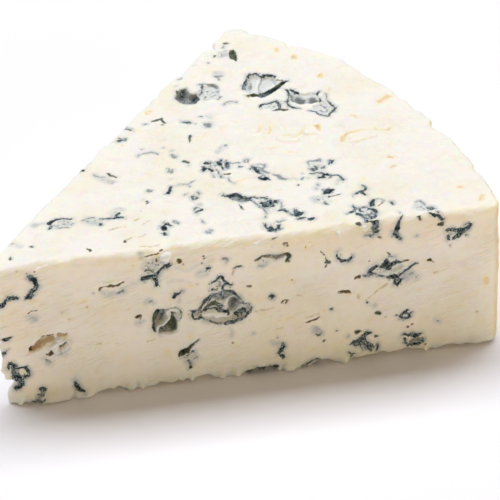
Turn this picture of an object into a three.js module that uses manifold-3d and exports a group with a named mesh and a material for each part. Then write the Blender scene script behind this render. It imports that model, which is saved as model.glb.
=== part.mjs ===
// A wedge of blue-veined cheese, lying on a cut face, as one closed solid in millimetres.
//
// The wedge is a slice of a round wheel. Its tip is the middle of the wheel and its curved end is the rind.
// While it is built, the tip stands at x = 0, y = 0. The front cut runs from there along +X in the plane y = 0,
// the back cut leaves it at WEDGE_ANGLE, and the underside is at z = 0. At the end the part is moved so that
// the origin is the middle of its footprint.
//
// The paste is crumbly, so the lower edges are chipped and the tip is broken. Both cuts, the top and the
// underside pass through eyes, the small hollows in which the blue mould grows.
import * as THREE from "three";
import { mergeVertices } from "three/addons/utils/BufferGeometryUtils.js";
import Module from "manifold-3d";

// Driving dimensions, in millimetres and degrees.
const WHEEL_RADIUS = 100;
const THICKNESS = 32.6;
const WEDGE_ANGLE = 52.5;
const TIP_LOSS = 2.2; // how much of the sharp tip has crumbled away
const CORNER_RADIUS = 3.6; // upright corners between a cut and the rind
const CUT_EDGE_RADIUS = 1.0; // edges that a knife made
const RIND_EDGE_RADIUS = 2.2; // edges of the wheel itself
const RIND_BULGE = 1.2; // how far the rind swells out between the two cuts
const RIND_UNEVENNESS = 0.35; // how far the rind wanders from a true circle
const FACE_UNEVENNESS = 0.25; // how far the cuts and the top wander from a plane
const TIP_CRUMBLE = 1.1; // how far the broken tip is eaten away in places
const TIP_REACH = 11; // the crumbling fades out this far from the tip
const FOOT_REACH = 3.2; // the broken lower edges fade out this far up
const FOOT_SPREAD = 1.6; // a chip goes in, or a foot comes out, by this much of its height

// Fineness of the mesh.
const OUTLINE_STEPS = [46, 3, 50, 3, 24, 2]; // front cut, corner, rind, corner, back cut, tip
const ROUND = OUTLINE_STEPS.reduce((sum, steps) => sum + steps);
const CAP_ROWS = [0, 0.45, 0.84]; // rings of the top and the underside, from the middle out
const EDGE_ROWS = [0, 45, 90]; // degrees round each edge
const KNOB_DETAIL = [2.6, 7, Infinity]; // sizes up to which a knob is cut from a ball of 20, 80 and 180 facets
const SIDE_ROWS = [0.07, 0.17, 0.31, 0.47, 0.63, 0.79, 0.92]; // heights up the side, as shares

// How high the broken lower edges stand above the board: [distance from the tip, height]. Where the height is
// negative the foot of the cut spreads outward instead.
const FRONT_FOOT = [
  [0, 0.3],
  [5, -0.2],
  [9, -0.8],
  [13, -0.8],
  [17, 0.4],
  [21, 0.7],
  [25, 1.4],
  [28, 0.4],
  [33, 0.7],
  [37, 1.3],
  [43, 1.1],
  [46, 0.2],
  [50, 1.3],
  [56, 1.3],
  [59, 0],
  [64, 1.1],
  [69, 0.2],
  [75, 1.6],
  [79, 0.6],
  [82, 1.0],
  [86, 0.4],
  [92, 0.6],
  [100, 0.4],
];
const BACK_FOOT = [
  [0, 0.3],
  [9, 0.2],
  [15, 1.1],
  [20, 0.3],
  [29, 1.3],
  [37, 0.4],
  [44, 0.9],
  [49, 0.2],
  [58, 1.2],
  [66, 0.3],
  [75, 1.5],
  [82, 0.5],
  [88, 0.9],
  [100, 0.4],
];

// The eyes: [place along the face, place up the face, length, width, depth, tilt in degrees].
// On the front cut a place is measured along +X and up. On the top it is x and y.
const FRONT_EYES = [
  [46.2, 16.8, 9.6, 6.6, 2.6, -4],
  [41.6, 15.8, 5.0, 2.2, 1.5, 12],
  [33.0, 15.3, 3.6, 6.4, 3.4, -8],
  [35.9, 14.9, 3.2, 5.6, 3.2, 6],
  [39.4, 9.3, 4.6, 1.5, 2.8, 50],
  [37.4, 7.2, 3.0, 2.3, 2.8, 30],
  [11.0, 14.1, 7.0, 2.3, 2.2, 20],
  [14.6, 15.3, 2.0, 0.9, 1.3, 5],
  [11.6, 11.4, 1.3, 1.7, 1.4, 0],
  [4.6, 8.4, 2.4, 3.6, 1.2, 20],
  [6.4, 7.0, 3.0, 2.6, 1.4, 0],
  [5.0, 4.6, 2.4, 2.4, 1.3, 0],
  [9.8, 28.4, 1.3, 4.0, 1.2, 14],
  [9.1, 25.6, 3.0, 1.4, 1.2, 38],
  [5.0, 24.9, 3.6, 1.3, 1.2, 22],
  [24.2, 25.2, 5.0, 0.8, 1.6, 10],
  [32.0, 26.1, 4.0, 1.4, 1.3, 6],
  [34.8, 28.2, 3.2, 1.3, 1.1, 38],
  [55.0, 27.4, 5.8, 1.5, 1.6, 2],
  [58.3, 26.5, 1.5, 2.4, 1.5, 0],
  [69.4, 24.6, 3.0, 1.5, 1.0, -4],
  [74.8, 21.2, 3.4, 1.4, 1.2, 36],
  [78.6, 21.4, 4.4, 2.2, 1.4, 8],
  [79.4, 18.2, 2.6, 2.8, 1.4, 10],
  [69.0, 16.9, 2.6, 0.9, 1.3, -4],
  [79.4, 29.0, 1.3, 3.6, 0.9, 4],
  [75.3, 31.0, 1.8, 3.4, 1.2, -8],
  [91.8, 27.8, 4.2, 1.8, 0.8, 18],
  [81.2, 9.5, 2.3, 1.7, 1.4, -6],
  [83.0, 3.3, 3.4, 2.4, 1.1, 0],
  [73.0, 4.3, 4.8, 3.0, 1.5, 38],
];
const TOP_EYES = [
  [47.6, 53.0, 5.4, 4.0, 2.2, -62],
  [52.6, 53.6, 4.8, 4.4, 0.7, 10],
  [63.9, 51.2, 8.4, 1.4, 2.2, 33],
  [60.2, 55.6, 6.2, 0.8, 1.2, 72],
  [64.0, 58.0, 5.0, 0.8, 1.0, -14],
  [70.6, 47.8, 6.4, 4.6, 2.6, -24],
  [73.9, 42.2, 5.6, 3.8, 0.9, -58],
  [63.4, 45.8, 3.8, 2.6, 0.9, -10],
  [50.0, 25.2, 5.8, 2.6, 0.9, -16],
  [57.4, 22.4, 3.8, 3.2, 1.0, -58],
  [52.4, 13.6, 6.4, 1.7, 1.0, -30],
  [56.8, 10.8, 3.6, 2.6, 1.3, -24],
  [56.0, 2.8, 2.6, 2.4, 1.1, -30],
  [73.8, 3.6, 4.6, 3.0, 1.3, -28],
  [35.6, 6.4, 1.2, 3.0, 2.0, -8],
  [38.6, 19.3, 0.9, 2.4, 1.0, -25],
  [46.1, 43.4, 1.9, 1.0, 1.5, -30],
  [66.2, 35.4, 5.4, 1.6, 1.2, -18],
  [71.3, 36.0, 1.5, 2.2, 1.2, 6],
  [76.6, 32.0, 5.4, 1.5, 1.4, 52],
  [86.8, 43.2, 3.4, 1.4, 0.9, 22],
];
// Eyes of the two faces that have no list of their own: [how many, largest, smallest] in millimetres.
const BACK_EYES = [11, 7.0, 1.8];
const UNDERSIDE_EYES = [7, 6.0, 2.0];
const CLEAR_OF_EDGES = 5; // those stay this far from the edges
const EYE_SUNK = 0.2; // share of an eye's depth by which its widest part lies below the face
const SEED = 11;

// Crumbs of paste that stand up from the upper front edge: [along, up, across].
const CRUMBS = [
  [34.9, 30.4, 2.2],
  [68.1, 31.2, 1.1],
  [51.4, 31.3, 0.9],
];

const wasm = await Module();
wasm.setup();

const ANGLE = THREE.MathUtils.degToRad(WEDGE_ANGLE);
const BACK_ALONG = new THREE.Vector3(Math.cos(ANGLE), Math.sin(ANGLE), 0);
const HEART = new THREE.Vector3(58, 28.5, 0); // the middle of the plan, from which every edge is in sight

// Evenly spread draws between 0 and 1, the same on every run.
function makeRandom(seed) {
  let state = seed;
  return () => {
    state = (state * 16807) % 2147483647;
    return state / 2147483647;
  };
}

// A smooth, wandering value between -1 and 1 whose bumps are about a wavelength apart.
function wander(point, wavelength, seed) {
  const turn = (2 * Math.PI) / wavelength;
  return (
    (Math.sin(turn * (point.x + 0.6 * point.y) + seed) +
      Math.sin(turn * (0.8 * point.y - 0.5 * point.z) + 2 * seed) +
      Math.sin(turn * (0.9 * point.z - 0.7 * point.x) + 3 * seed)) /
    3
  );
}

// The plan of the wedge, as points round it: the front cut, the rind, the back cut and the broken tip, with
// rounded corners.
function makePlan() {
  const setback = CORNER_RADIUS / WHEEL_RADIUS; // the corner's size as an angle at the wheel's middle
  const frontEnd = WHEEL_RADIUS - CORNER_RADIUS;
  const onRind = (angle) => [WHEEL_RADIUS * Math.cos(angle), WHEEL_RADIUS * Math.sin(angle)];
  const onBack = (distance) => [distance * BACK_ALONG.x, distance * BACK_ALONG.y];
  const plan = new THREE.Path();
  plan.moveTo(TIP_LOSS, 0);
  plan.lineTo(frontEnd, 0);
  plan.quadraticCurveTo(...onRind(0), ...onRind(setback));
  plan.absarc(0, 0, WHEEL_RADIUS, setback, ANGLE - setback, false);
  plan.quadraticCurveTo(...onRind(ANGLE), ...onBack(frontEnd));
  plan.lineTo(...onBack(TIP_LOSS));
  plan.lineTo(TIP_LOSS, 0);
  return plan.curves.flatMap((curve, i) => curve.getSpacedPoints(OUTLINE_STEPS[i]).slice(0, -1));
}

// The radius that the upper and lower edges have at a point of the plan: larger where the rind is.
function edgeRadius(point) {
  const toRind = THREE.MathUtils.smoothstep(Math.hypot(point.x, point.y), WHEEL_RADIUS - 4, WHEEL_RADIUS - 0.5);
  return THREE.MathUtils.lerp(CUT_EDGE_RADIUS, RIND_EDGE_RADIUS, toRind);
}

// The rows of the mesh from the middle of the underside to the middle of the top. Each one tells how far from the
// heart it is, as a share, and where it is on the edge or the side.
function makeRows() {
  const bottomCap = CAP_ROWS.map((share) => ({ share, edge: 0, top: false }));
  const bottomEdge = EDGE_ROWS.map((edge) => ({ share: 1, edge, top: false }));
  const side = SIDE_ROWS.map((height) => ({ share: 1, edge: 90, height }));
  const topEdge = EDGE_ROWS.toReversed().map((edge) => ({ share: 1, edge, top: true }));
  const topCap = CAP_ROWS.toReversed().map((share) => ({ share, edge: 0, top: true }));
  return [...bottomCap, ...bottomEdge, ...side, ...topEdge, ...topCap];
}

// The point of one row at one step round the plan, before any unevenness.
function placeRowPoint(row, planPoint, outward) {
  const radius = edgeRadius(planPoint);
  const turn = THREE.MathUtils.degToRad(row.edge);
  const inset = radius * (1 - Math.sin(turn));
  const rise = radius * (1 - Math.cos(turn));
  const point = planPoint.clone().addScaledVector(outward, -inset);
  point.lerp(HEART, 1 - row.share);
  if (row.height !== undefined) point.z = THREE.MathUtils.lerp(radius, THICKNESS - radius, row.height);
  else point.z = row.top ? THICKNESS - rise : rise;
  return point;
}

// The height of a broken lower edge at a distance from the tip.
function footAt(distance, foot) {
  const after = Math.max(1, foot.findIndex(([place]) => place >= distance));
  const [[start, from], [end, to]] = [foot[after - 1], foot[after]];
  return from + (to - from) * THREE.MathUtils.smoothstep(distance, start, end);
}

// Makes a point of the plain wedge uneven, as a cut crumbly cheese is.
function roughen(point, outward, row) {
  const fromTip = Math.min(WHEEL_RADIUS, Math.hypot(point.x, point.y));
  const round = THREE.MathUtils.clamp(Math.atan2(point.y, point.x) / ANGLE, 0, 1);
  const onRind = THREE.MathUtils.smoothstep(fromTip, WHEEL_RADIUS - 6, WHEEL_RADIUS - 1);
  const onSide = row.share === 1;
  const onFoot = onSide && !row.top && row.height === undefined && row.edge === 0;
  if (row.top) point.z += FACE_UNEVENNESS * wander(point, 24, 3) * row.share;
  if (!onSide) return point;

  const lumps = wander(point, 13, 2) + 0.7 * wander(point, 5.5, 5);
  const swell = RIND_BULGE * Math.sin(Math.PI * round) + RIND_UNEVENNESS * lumps;
  point.addScaledVector(outward, onRind * swell + (1 - onRind) * FACE_UNEVENNESS * wander(point, 31, 1));

  // The broken tip, eaten away more towards the bottom.
  const atTip = 1 - THREE.MathUtils.smoothstep(fromTip, TIP_LOSS, TIP_REACH);
  const low = 1 - THREE.MathUtils.smoothstep(point.z, 4, 20);
  point.x += Math.max(0, TIP_CRUMBLE * atTip * (0.5 + 0.7 * low + 0.6 * wander(point, 5, 4)));

  // The lower edges of both cuts, broken away or spread outward.
  if (row.top) return point;
  const foot = footAt(fromTip, round < 0.5 ? FRONT_FOOT : BACK_FOOT) * (1 - onRind);
  const fade = 1 - THREE.MathUtils.smoothstep(point.z, CUT_EDGE_RADIUS, FOOT_REACH);
  if (foot < 0) point.addScaledVector(outward, -foot * FOOT_SPREAD * fade);
  else if (onFoot) point.addScaledVector(outward, -foot * FOOT_SPREAD);
  else point.z += foot * fade;
  return point;
}

// The wedge without its eyes: a sphere's rows and steps, laid over the plan and its edges.
function makeWedge() {
  const rows = makeRows();
  const plan = makePlan();
  const at = (i) => plan[(i + ROUND) % ROUND];
  const sphere = new THREE.SphereGeometry(1, ROUND, rows.length - 1);
  const places = sphere.getAttribute("position");
  for (let r = 0; r < rows.length; r++) {
    const row = rows[rows.length - 1 - r];
    for (let step = 0; step <= ROUND; step++) {
      const here = at(step);
      const along = at(step + 1).clone().sub(at(step - 1)).normalize();
      const outward = new THREE.Vector3(along.y, -along.x, 0);
      const plain = placeRowPoint(row, new THREE.Vector3(here.x, here.y, 0), outward);
      const point = row.share === 0 ? plain : roughen(plain, outward, row);
      places.setXYZ(r * (ROUND + 1) + step, point.x, point.y, point.z);
    }
  }
  return toSolid(sphere);
}

// A closed geometry as a solid that can be cut.
function toSolid(geometry) {
  const bare = geometry.clone();
  bare.deleteAttribute("normal");
  bare.deleteAttribute("uv");
  const merged = mergeVertices(bare, 1e-4);
  const solid = new wasm.Manifold(
    new wasm.Mesh({
      numProp: 3,
      vertProperties: new Float32Array(merged.getAttribute("position").array),
      triVerts: new Uint32Array(merged.index.array),
    }),
  );
  return solid;
}

// A knobbly ball, 2 mm across until it is scaled, with its bumps set by a seed.
function makeKnob(size, seed) {
  const detail = KNOB_DETAIL.findIndex((limit) => size < limit);
  const knob = new THREE.IcosahedronGeometry(1, detail);
  const places = knob.getAttribute("position");
  const point = new THREE.Vector3();
  for (let i = 0; i < places.count; i++) {
    point.fromBufferAttribute(places, i);
    const reach = 1 + 0.2 * wander(point, 1.5, seed) + 0.1 * wander(point, 0.8, 2 * seed);
    point.multiplyScalar(reach);
    places.setXYZ(i, point.x, point.y, point.z);
  }
  return knob;
}

// The frame of each face: a point of it, its directions along and up, and the direction into the cheese.
const X = new THREE.Vector3(1, 0, 0);
const Y = new THREE.Vector3(0, 1, 0);
const Z = new THREE.Vector3(0, 0, 1);
const FACES = {
  front: { origin: new THREE.Vector3(), along: X, up: Z, inward: Y },
  back: { origin: new THREE.Vector3(), along: BACK_ALONG, up: Z, inward: BACK_ALONG.clone().cross(Z) },
  top: { origin: Z.clone().multiplyScalar(THICKNESS), along: X, up: Y, inward: Z.clone().negate() },
  underside: { origin: new THREE.Vector3(), along: X, up: Y, inward: Z },
};

// The solid that cuts one eye: a knobbly ball sunk a little below its face, so that the rim overhangs.
function makeEye(face, [along, up, length, width, depth, tilt], seed) {
  const turn = THREE.MathUtils.degToRad(tilt);
  const sunk = EYE_SUNK * depth;
  const middle = face.origin.clone().addScaledVector(face.along, along).addScaledVector(face.up, up);
  middle.addScaledVector(face.inward, sunk);
  const longWay = face.along.clone().multiplyScalar(Math.cos(turn)).addScaledVector(face.up, Math.sin(turn));
  const wideWay = face.inward.clone().cross(longWay);
  const shape = new THREE.Matrix4().makeBasis(
    longWay.multiplyScalar(length / 2),
    wideWay.multiplyScalar(width / 2),
    face.inward.clone().multiplyScalar(depth - sunk),
  );
  shape.setPosition(middle);
  return toSolid(makeKnob(Math.max(length, width), seed).applyMatrix4(shape));
}

// Eyes spread over a face by chance. pick turns two draws into a place on that face.
function scatterEyes([count, largest, smallest], pick, random) {
  return Array.from({ length: count }, (_, i) => {
    const size = THREE.MathUtils.lerp(largest, smallest, Math.sqrt((i + random()) / count));
    const [along, up] = pick(random(), (i + random()) / count);
    return [along, up, size, size * (0.35 + 0.3 * random()), 0.7 + 0.22 * size, 180 * random()];
  });
}

function placeOnBack(first, second) {
  const along = THREE.MathUtils.lerp(2.5 * CLEAR_OF_EDGES, WHEEL_RADIUS - CLEAR_OF_EDGES, second);
  return [along, THREE.MathUtils.lerp(CLEAR_OF_EDGES, THICKNESS - CLEAR_OF_EDGES, first)];
}

function placeUnder(first, second) {
  const distance = WHEEL_RADIUS * THREE.MathUtils.lerp(0.35, 0.9, second);
  const angle = ANGLE * THREE.MathUtils.lerp(0.15, 0.85, first);
  return [distance * Math.cos(angle), distance * Math.sin(angle)];
}

// Cuts the eyes and sets the crumbs, and keeps the one large piece.
function makeCheese() {
  const random = makeRandom(SEED);
  const eyes = {
    front: FRONT_EYES,
    top: TOP_EYES,
    back: scatterEyes(BACK_EYES, placeOnBack, random),
    underside: scatterEyes(UNDERSIDE_EYES, placeUnder, random),
  };
  let cheese = makeWedge();
  for (const [name, list] of Object.entries(eyes)) {
    list.forEach((eye, i) => {
      cheese = cheese.subtract(makeEye(FACES[name], eye, i + 1));
    });
  }
  for (const [along, up, size] of CRUMBS) {
    const crumb = makeKnob(size, along).scale(size / 2, size / 2.6, size / 2.8);
    cheese = cheese.add(toSolid(crumb.translate(along, 0.15, up)));
  }
  return cheese.decompose().sort((a, b) => b.volume() - a.volume())[0];
}

// A solid back as a geometry, with its underside on z = 0 and the middle of its footprint at the origin.
function toGeometry(solid) {
  const { vertProperties, triVerts } = solid.getMesh();
  const geometry = new THREE.BufferGeometry();
  geometry.setAttribute("position", new THREE.BufferAttribute(vertProperties, 3));
  geometry.setIndex(new THREE.BufferAttribute(triVerts, 1));
  geometry.computeBoundingBox();
  const { min, max } = geometry.boundingBox;
  geometry.translate(-(min.x + max.x) / 2, -(min.y + max.y) / 2, -min.z);
  geometry.computeVertexNormals();
  return geometry;
}

const paste = new THREE.MeshStandardMaterial({ color: 0xf3ead3, roughness: 0.55, metalness: 0 });
const wedge = new THREE.Mesh(toGeometry(makeCheese()), paste);
wedge.name = "cheese_wedge";

const cheese = new THREE.Group();
cheese.add(wedge);

export default cheese;
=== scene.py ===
"""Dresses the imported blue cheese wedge: its paste, mould and rind, and the studio it stands in.

The wedge is built in the wheel's own frame, in millimetres: the middle of the wheel, which is the wedge's tip, is
at x = 0, y = 0, the front cut runs along +X, the back cut leaves it at WheelCut.angle, and the underside is at
z = 0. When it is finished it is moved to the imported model's frame, in metres.
"""

import itertools
import logging
import math
from collections.abc import Callable, Iterator
from dataclasses import dataclass, field
from enum import Enum

import bmesh
import bpy
import numpy as np
from mathutils import Matrix, Vector

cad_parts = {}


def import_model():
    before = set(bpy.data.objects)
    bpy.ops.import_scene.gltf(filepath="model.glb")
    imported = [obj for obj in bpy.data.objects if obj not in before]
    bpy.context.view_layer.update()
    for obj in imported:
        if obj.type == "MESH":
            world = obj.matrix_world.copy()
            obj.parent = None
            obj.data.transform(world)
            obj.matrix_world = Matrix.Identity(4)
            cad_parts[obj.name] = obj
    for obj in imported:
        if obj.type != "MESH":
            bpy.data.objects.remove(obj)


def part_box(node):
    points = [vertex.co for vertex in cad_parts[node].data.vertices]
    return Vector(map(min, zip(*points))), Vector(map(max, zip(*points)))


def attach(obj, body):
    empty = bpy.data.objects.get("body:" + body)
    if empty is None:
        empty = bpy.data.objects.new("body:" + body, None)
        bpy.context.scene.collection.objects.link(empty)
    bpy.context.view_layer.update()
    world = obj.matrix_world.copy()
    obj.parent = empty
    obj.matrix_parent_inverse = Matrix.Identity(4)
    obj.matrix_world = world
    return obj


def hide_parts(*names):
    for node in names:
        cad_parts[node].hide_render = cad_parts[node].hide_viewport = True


log = logging.getLogger("cheese")

Spot = tuple[float, float]
Place = tuple[float, float, float]

MM = 0.001
NODE = "cheese_wedge"
RIND_LAYER = "rind"  # the mesh attribute that tells how far a point belongs to the rind
FAR = 3.2  # a mark is not felt further away than this, in mm
TINY = 1e-6  # keeps a length that is divided by above zero
EDGE_LEAN = (-0.13, -0.81, 0.57)  # the marks of the two cuts in view meet over their rounded edge along this way
DRAG_RISE = math.radians(17)  # how steeply the knife's drag marks rise towards the rind

# A lattice point's three numbers and a seed are mixed by large primes into one random number.
CELL_PRIMES = (73856093, 19349663, 83492791)
SEED_PRIME = 2654435761
STIR_PRIME = 1274126177
LATTICE_SHIFT = 1000.0  # keeps the lattice's numbers above zero
LOW_32, LOW_16 = 0xFFFFFFFF, 0xFFFF


class Tint(Enum):
    """What a mark on the cheese is made of, or the shade painted on it: SHADE and much of BROWN are painted shade. The
    value names the mesh attribute that holds it.
    """

    PASTE = "bare_paste"
    DARK = "mould_dark"
    OLIVE = "mould_olive"
    # painted shade in brown, laid mostly in cracks and small holes over their sunken relief
    BROWN = "crack_shade_brown"
    TAN = "floor_tan"
    YELLOW = "pit_yellow"
    GREY = "mould_grey"
    PALE = "mould_pale"
    FOLD = "light_fold"
    # painted shade: soft dark grey laid inside hollows
    SHADE = "soft_shade"
    BLOOM = "mould_bloom"


# How deep a mark lies in the paste when its entry doesn't say, in mm.
USUAL_DEPTH = {
    Tint.PASTE: 0.0,
    Tint.DARK: 0.35,
    Tint.OLIVE: 0.35,
    Tint.BROWN: 0.45,
    Tint.TAN: 0.3,
    Tint.YELLOW: 0.15,
    Tint.GREY: 0.12,
    Tint.PALE: 0.05,
    Tint.FOLD: 0.05,
    Tint.SHADE: 0.0,
    Tint.BLOOM: 0.0,
}


def linear(srgb: str) -> tuple[float, float, float, float]:
    """Turns an sRGB hex colour into a linear one.

    Args:
        srgb: The colour, such as "#f4eedd".

    Returns:
        Linear red, green, blue, and an alpha of 1.
    """
    shares = [int(srgb[i : i + 2], 16) / 255 for i in (1, 3, 5)]
    return (*[s / 12.92 if s <= 0.04045 else ((s + 0.055) / 1.055) ** 2.4 for s in shares], 1.0)


def ease(share: np.ndarray) -> np.ndarray:
    """Bends shares from 0 to 1 so that they start and end softly."""
    return share * share * (3 - 2 * share)


def smooth(value: np.ndarray, start: float, end: float) -> np.ndarray:
    """Eases values from 0 at start to 1 at end."""
    return ease(np.clip((value - start) / (end - start), 0, 1))


def wander(at: np.ndarray, wavelength: float, seed: float) -> np.ndarray:
    """Gives a smooth value between -1 and 1 at each point, from three crossing waves.

    Args:
        at: The points, one row each.
        wavelength: How far apart the waves are, in the points' unit.
        seed: Shifts the waves.

    Returns:
        One value for each point.
    """
    turn = 2 * math.pi / wavelength
    x, y, z = at.T
    first = np.sin(turn * (x + 0.6 * y) + seed)
    second = np.sin(turn * (0.8 * y - 0.5 * z) + 2 * seed)
    return (first + second + np.sin(turn * (0.9 * z - 0.7 * x) + 3 * seed)) / 3


def grain(at: np.ndarray, wavelength: float, seed: int) -> np.ndarray:
    """Gives an irregular smooth value between -1 and 1 at each point, from random values on a lattice.

    Args:
        at: The points, one row each.
        wavelength: The lattice's spacing, in the points' unit.
        seed: Picks the pattern.

    Returns:
        One value for each point.
    """
    cell = at / wavelength + LATTICE_SHIFT
    low = np.floor(cell).astype(np.int64)
    share = ease(cell - low)
    total = np.zeros(len(at))
    for corner in itertools.product((0, 1), repeat=3):
        first, second, third = ((low + corner) * CELL_PRIMES).T
        mixed = first ^ second ^ third ^ seed * SEED_PRIME
        mixed = (mixed ^ (mixed >> 13)) * STIR_PRIME & LOW_32
        value = ((mixed ^ (mixed >> 16)) & LOW_16) / (LOW_16 / 2) - 1
        total += value * np.prod(np.where(corner, share, 1 - share), axis=1)
    return total


@dataclass(frozen=True)
class Face:
    """A flat face of the wedge, as a frame that marks are placed in.

    The datum is how far the face's zero line stands above the frame's origin, along up. The lean is the way in which
    marks are carried from the flat face to its rounded edges and uneven parts, straight in if there is none.
    """

    origin: Place
    along: Place
    up: Place
    datum: float = 0.0
    lean: Place | None = None

    def place(self, spots: np.ndarray) -> np.ndarray:
        """Turns places on the face, one row each, into points in space."""
        along, up = np.array(self.along), np.array(self.up)
        return np.array(self.origin) + spots[:, :1] * along + (spots[:, 1:2] + self.datum) * up

    def carry_back(self, points: np.ndarray) -> np.ndarray:
        """Brings points close to the face onto it, against the lean.

        Args:
            points: The points, one row each.

        Returns:
            The points on the face, one row each.
        """
        off = np.cross(self.along, self.up)
        lean = off if self.lean is None else np.array(self.lean)
        return points - np.outer((points - np.array(self.origin)) @ off / (lean @ off), lean)

    def flatten(self, points: np.ndarray) -> np.ndarray:
        """Turns points in space into places in the face's frame.

        Args:
            points: The points, one row each.

        Returns:
            For each point how far it is along the face, up the face and off it.
        """
        along, up = np.array(self.along), np.array(self.up)
        rest = points - np.array(self.origin)
        return np.stack([rest @ along, rest @ up - self.datum, np.abs(rest @ np.cross(along, up))], axis=1)


@dataclass(frozen=True)
class Mark:
    """One mark on a face. Its course is a line of places "across,up" or "across,up,width", in mm.

    Depth is how far it goes into the paste, and a negative depth stands up from it.
    """

    tint: Tint
    width: float
    course: str
    depth: float | None = None

    def spots(self) -> np.ndarray:
        """Gives the course as rows of across, up and width."""
        rows = [[float(part) for part in spot.split(",")] for spot in self.course.split()]
        return np.array([row if len(row) == 3 else [*row, self.width] for row in rows])

    def sink(self) -> float:
        """Gives the mark's depth, its own or its tint's usual one."""
        return USUAL_DEPTH[self.tint] if self.depth is None else self.depth


@dataclass(frozen=True)
class Vein(Mark):
    """A thread, a crack or, with one place, a spot."""

    def reach(self, face: Face, points: np.ndarray) -> np.ndarray:
        """Measures points against the vein.

        Args:
            face: The face that it lies on.
            points: Points on that face, one row each.

        Returns:
            Each point's distance from the vein's edge, negative inside it, in mm.
        """
        spots = self.spots()
        if len(spots) == 1:
            spots = np.repeat(spots, 2, axis=0)
        line, width = face.place(spots[:, :2]), spots[:, 2]
        best = np.full(len(points), FAR)
        for start, end, first, last in zip(line, line[1:], width, width[1:]):
            step = end - start
            share = np.clip((points - start) @ step / max(step @ step, 1e-9), 0, 1)
            gap = np.linalg.norm(points - start - share[:, None] * step, axis=1)
            best = np.minimum(best, gap - (first + (last - first) * share) / 2)
        return best


@dataclass(frozen=True)
class Patch(Mark):
    """A filled outline. Its width is its depth, and its course goes round it."""

    lip: float = 1.0  # how far off the face the outline still reaches in full, in mm

    def sink(self) -> float:
        """Gives the patch's depth."""
        return self.width

    def reach(self, face: Face, points: np.ndarray) -> np.ndarray:
        """Measures points against the patch.

        Args:
            face: The face that it lies on.
            points: Points on that face, one row each.

        Returns:
            Each point's distance from the outline, negative inside it, in mm.
        """
        corners = self.spots()[:, :2]
        across, up, off = face.flatten(points).T
        gap = np.full(len(points), FAR)
        inside = np.zeros(len(points), bool)
        for (x0, y0), (x1, y1) in zip(corners, np.roll(corners, -1, axis=0)):
            run, rise = x1 - x0, y1 - y0
            share = np.clip(((across - x0) * run + (up - y0) * rise) / (run * run + rise * rise), 0, 1)
            gap = np.minimum(gap, np.hypot(across - x0 - share * run, up - y0 - share * rise))
            crosses = (y0 > up) != (y1 > up)
            slope = run / rise if rise else 0.0
            inside ^= crosses & (across < x0 + (up - y0) * slope)
        return np.where(inside, -gap, gap) + np.maximum(off - self.lip, 0)


def veins(tint: Tint, courses: str, depth: float | None = None) -> list[Vein]:
    """Makes veins of one tint and depth.

    Args:
        tint: Their tint.
        courses: For each vein its width, a colon and its course, with a semicolon before the next one.
        depth: Their depth in mm, the tint's usual one if there is none.

    Returns:
        The veins.
    """
    entries = [entry.split(":") for entry in courses.split(";")]
    return [Vein(tint, float(width), course, depth) for width, course in entries]


# The front cut's places are measured from this far above the board, in mm.
FRONT_DATUM = 0.4

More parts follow.
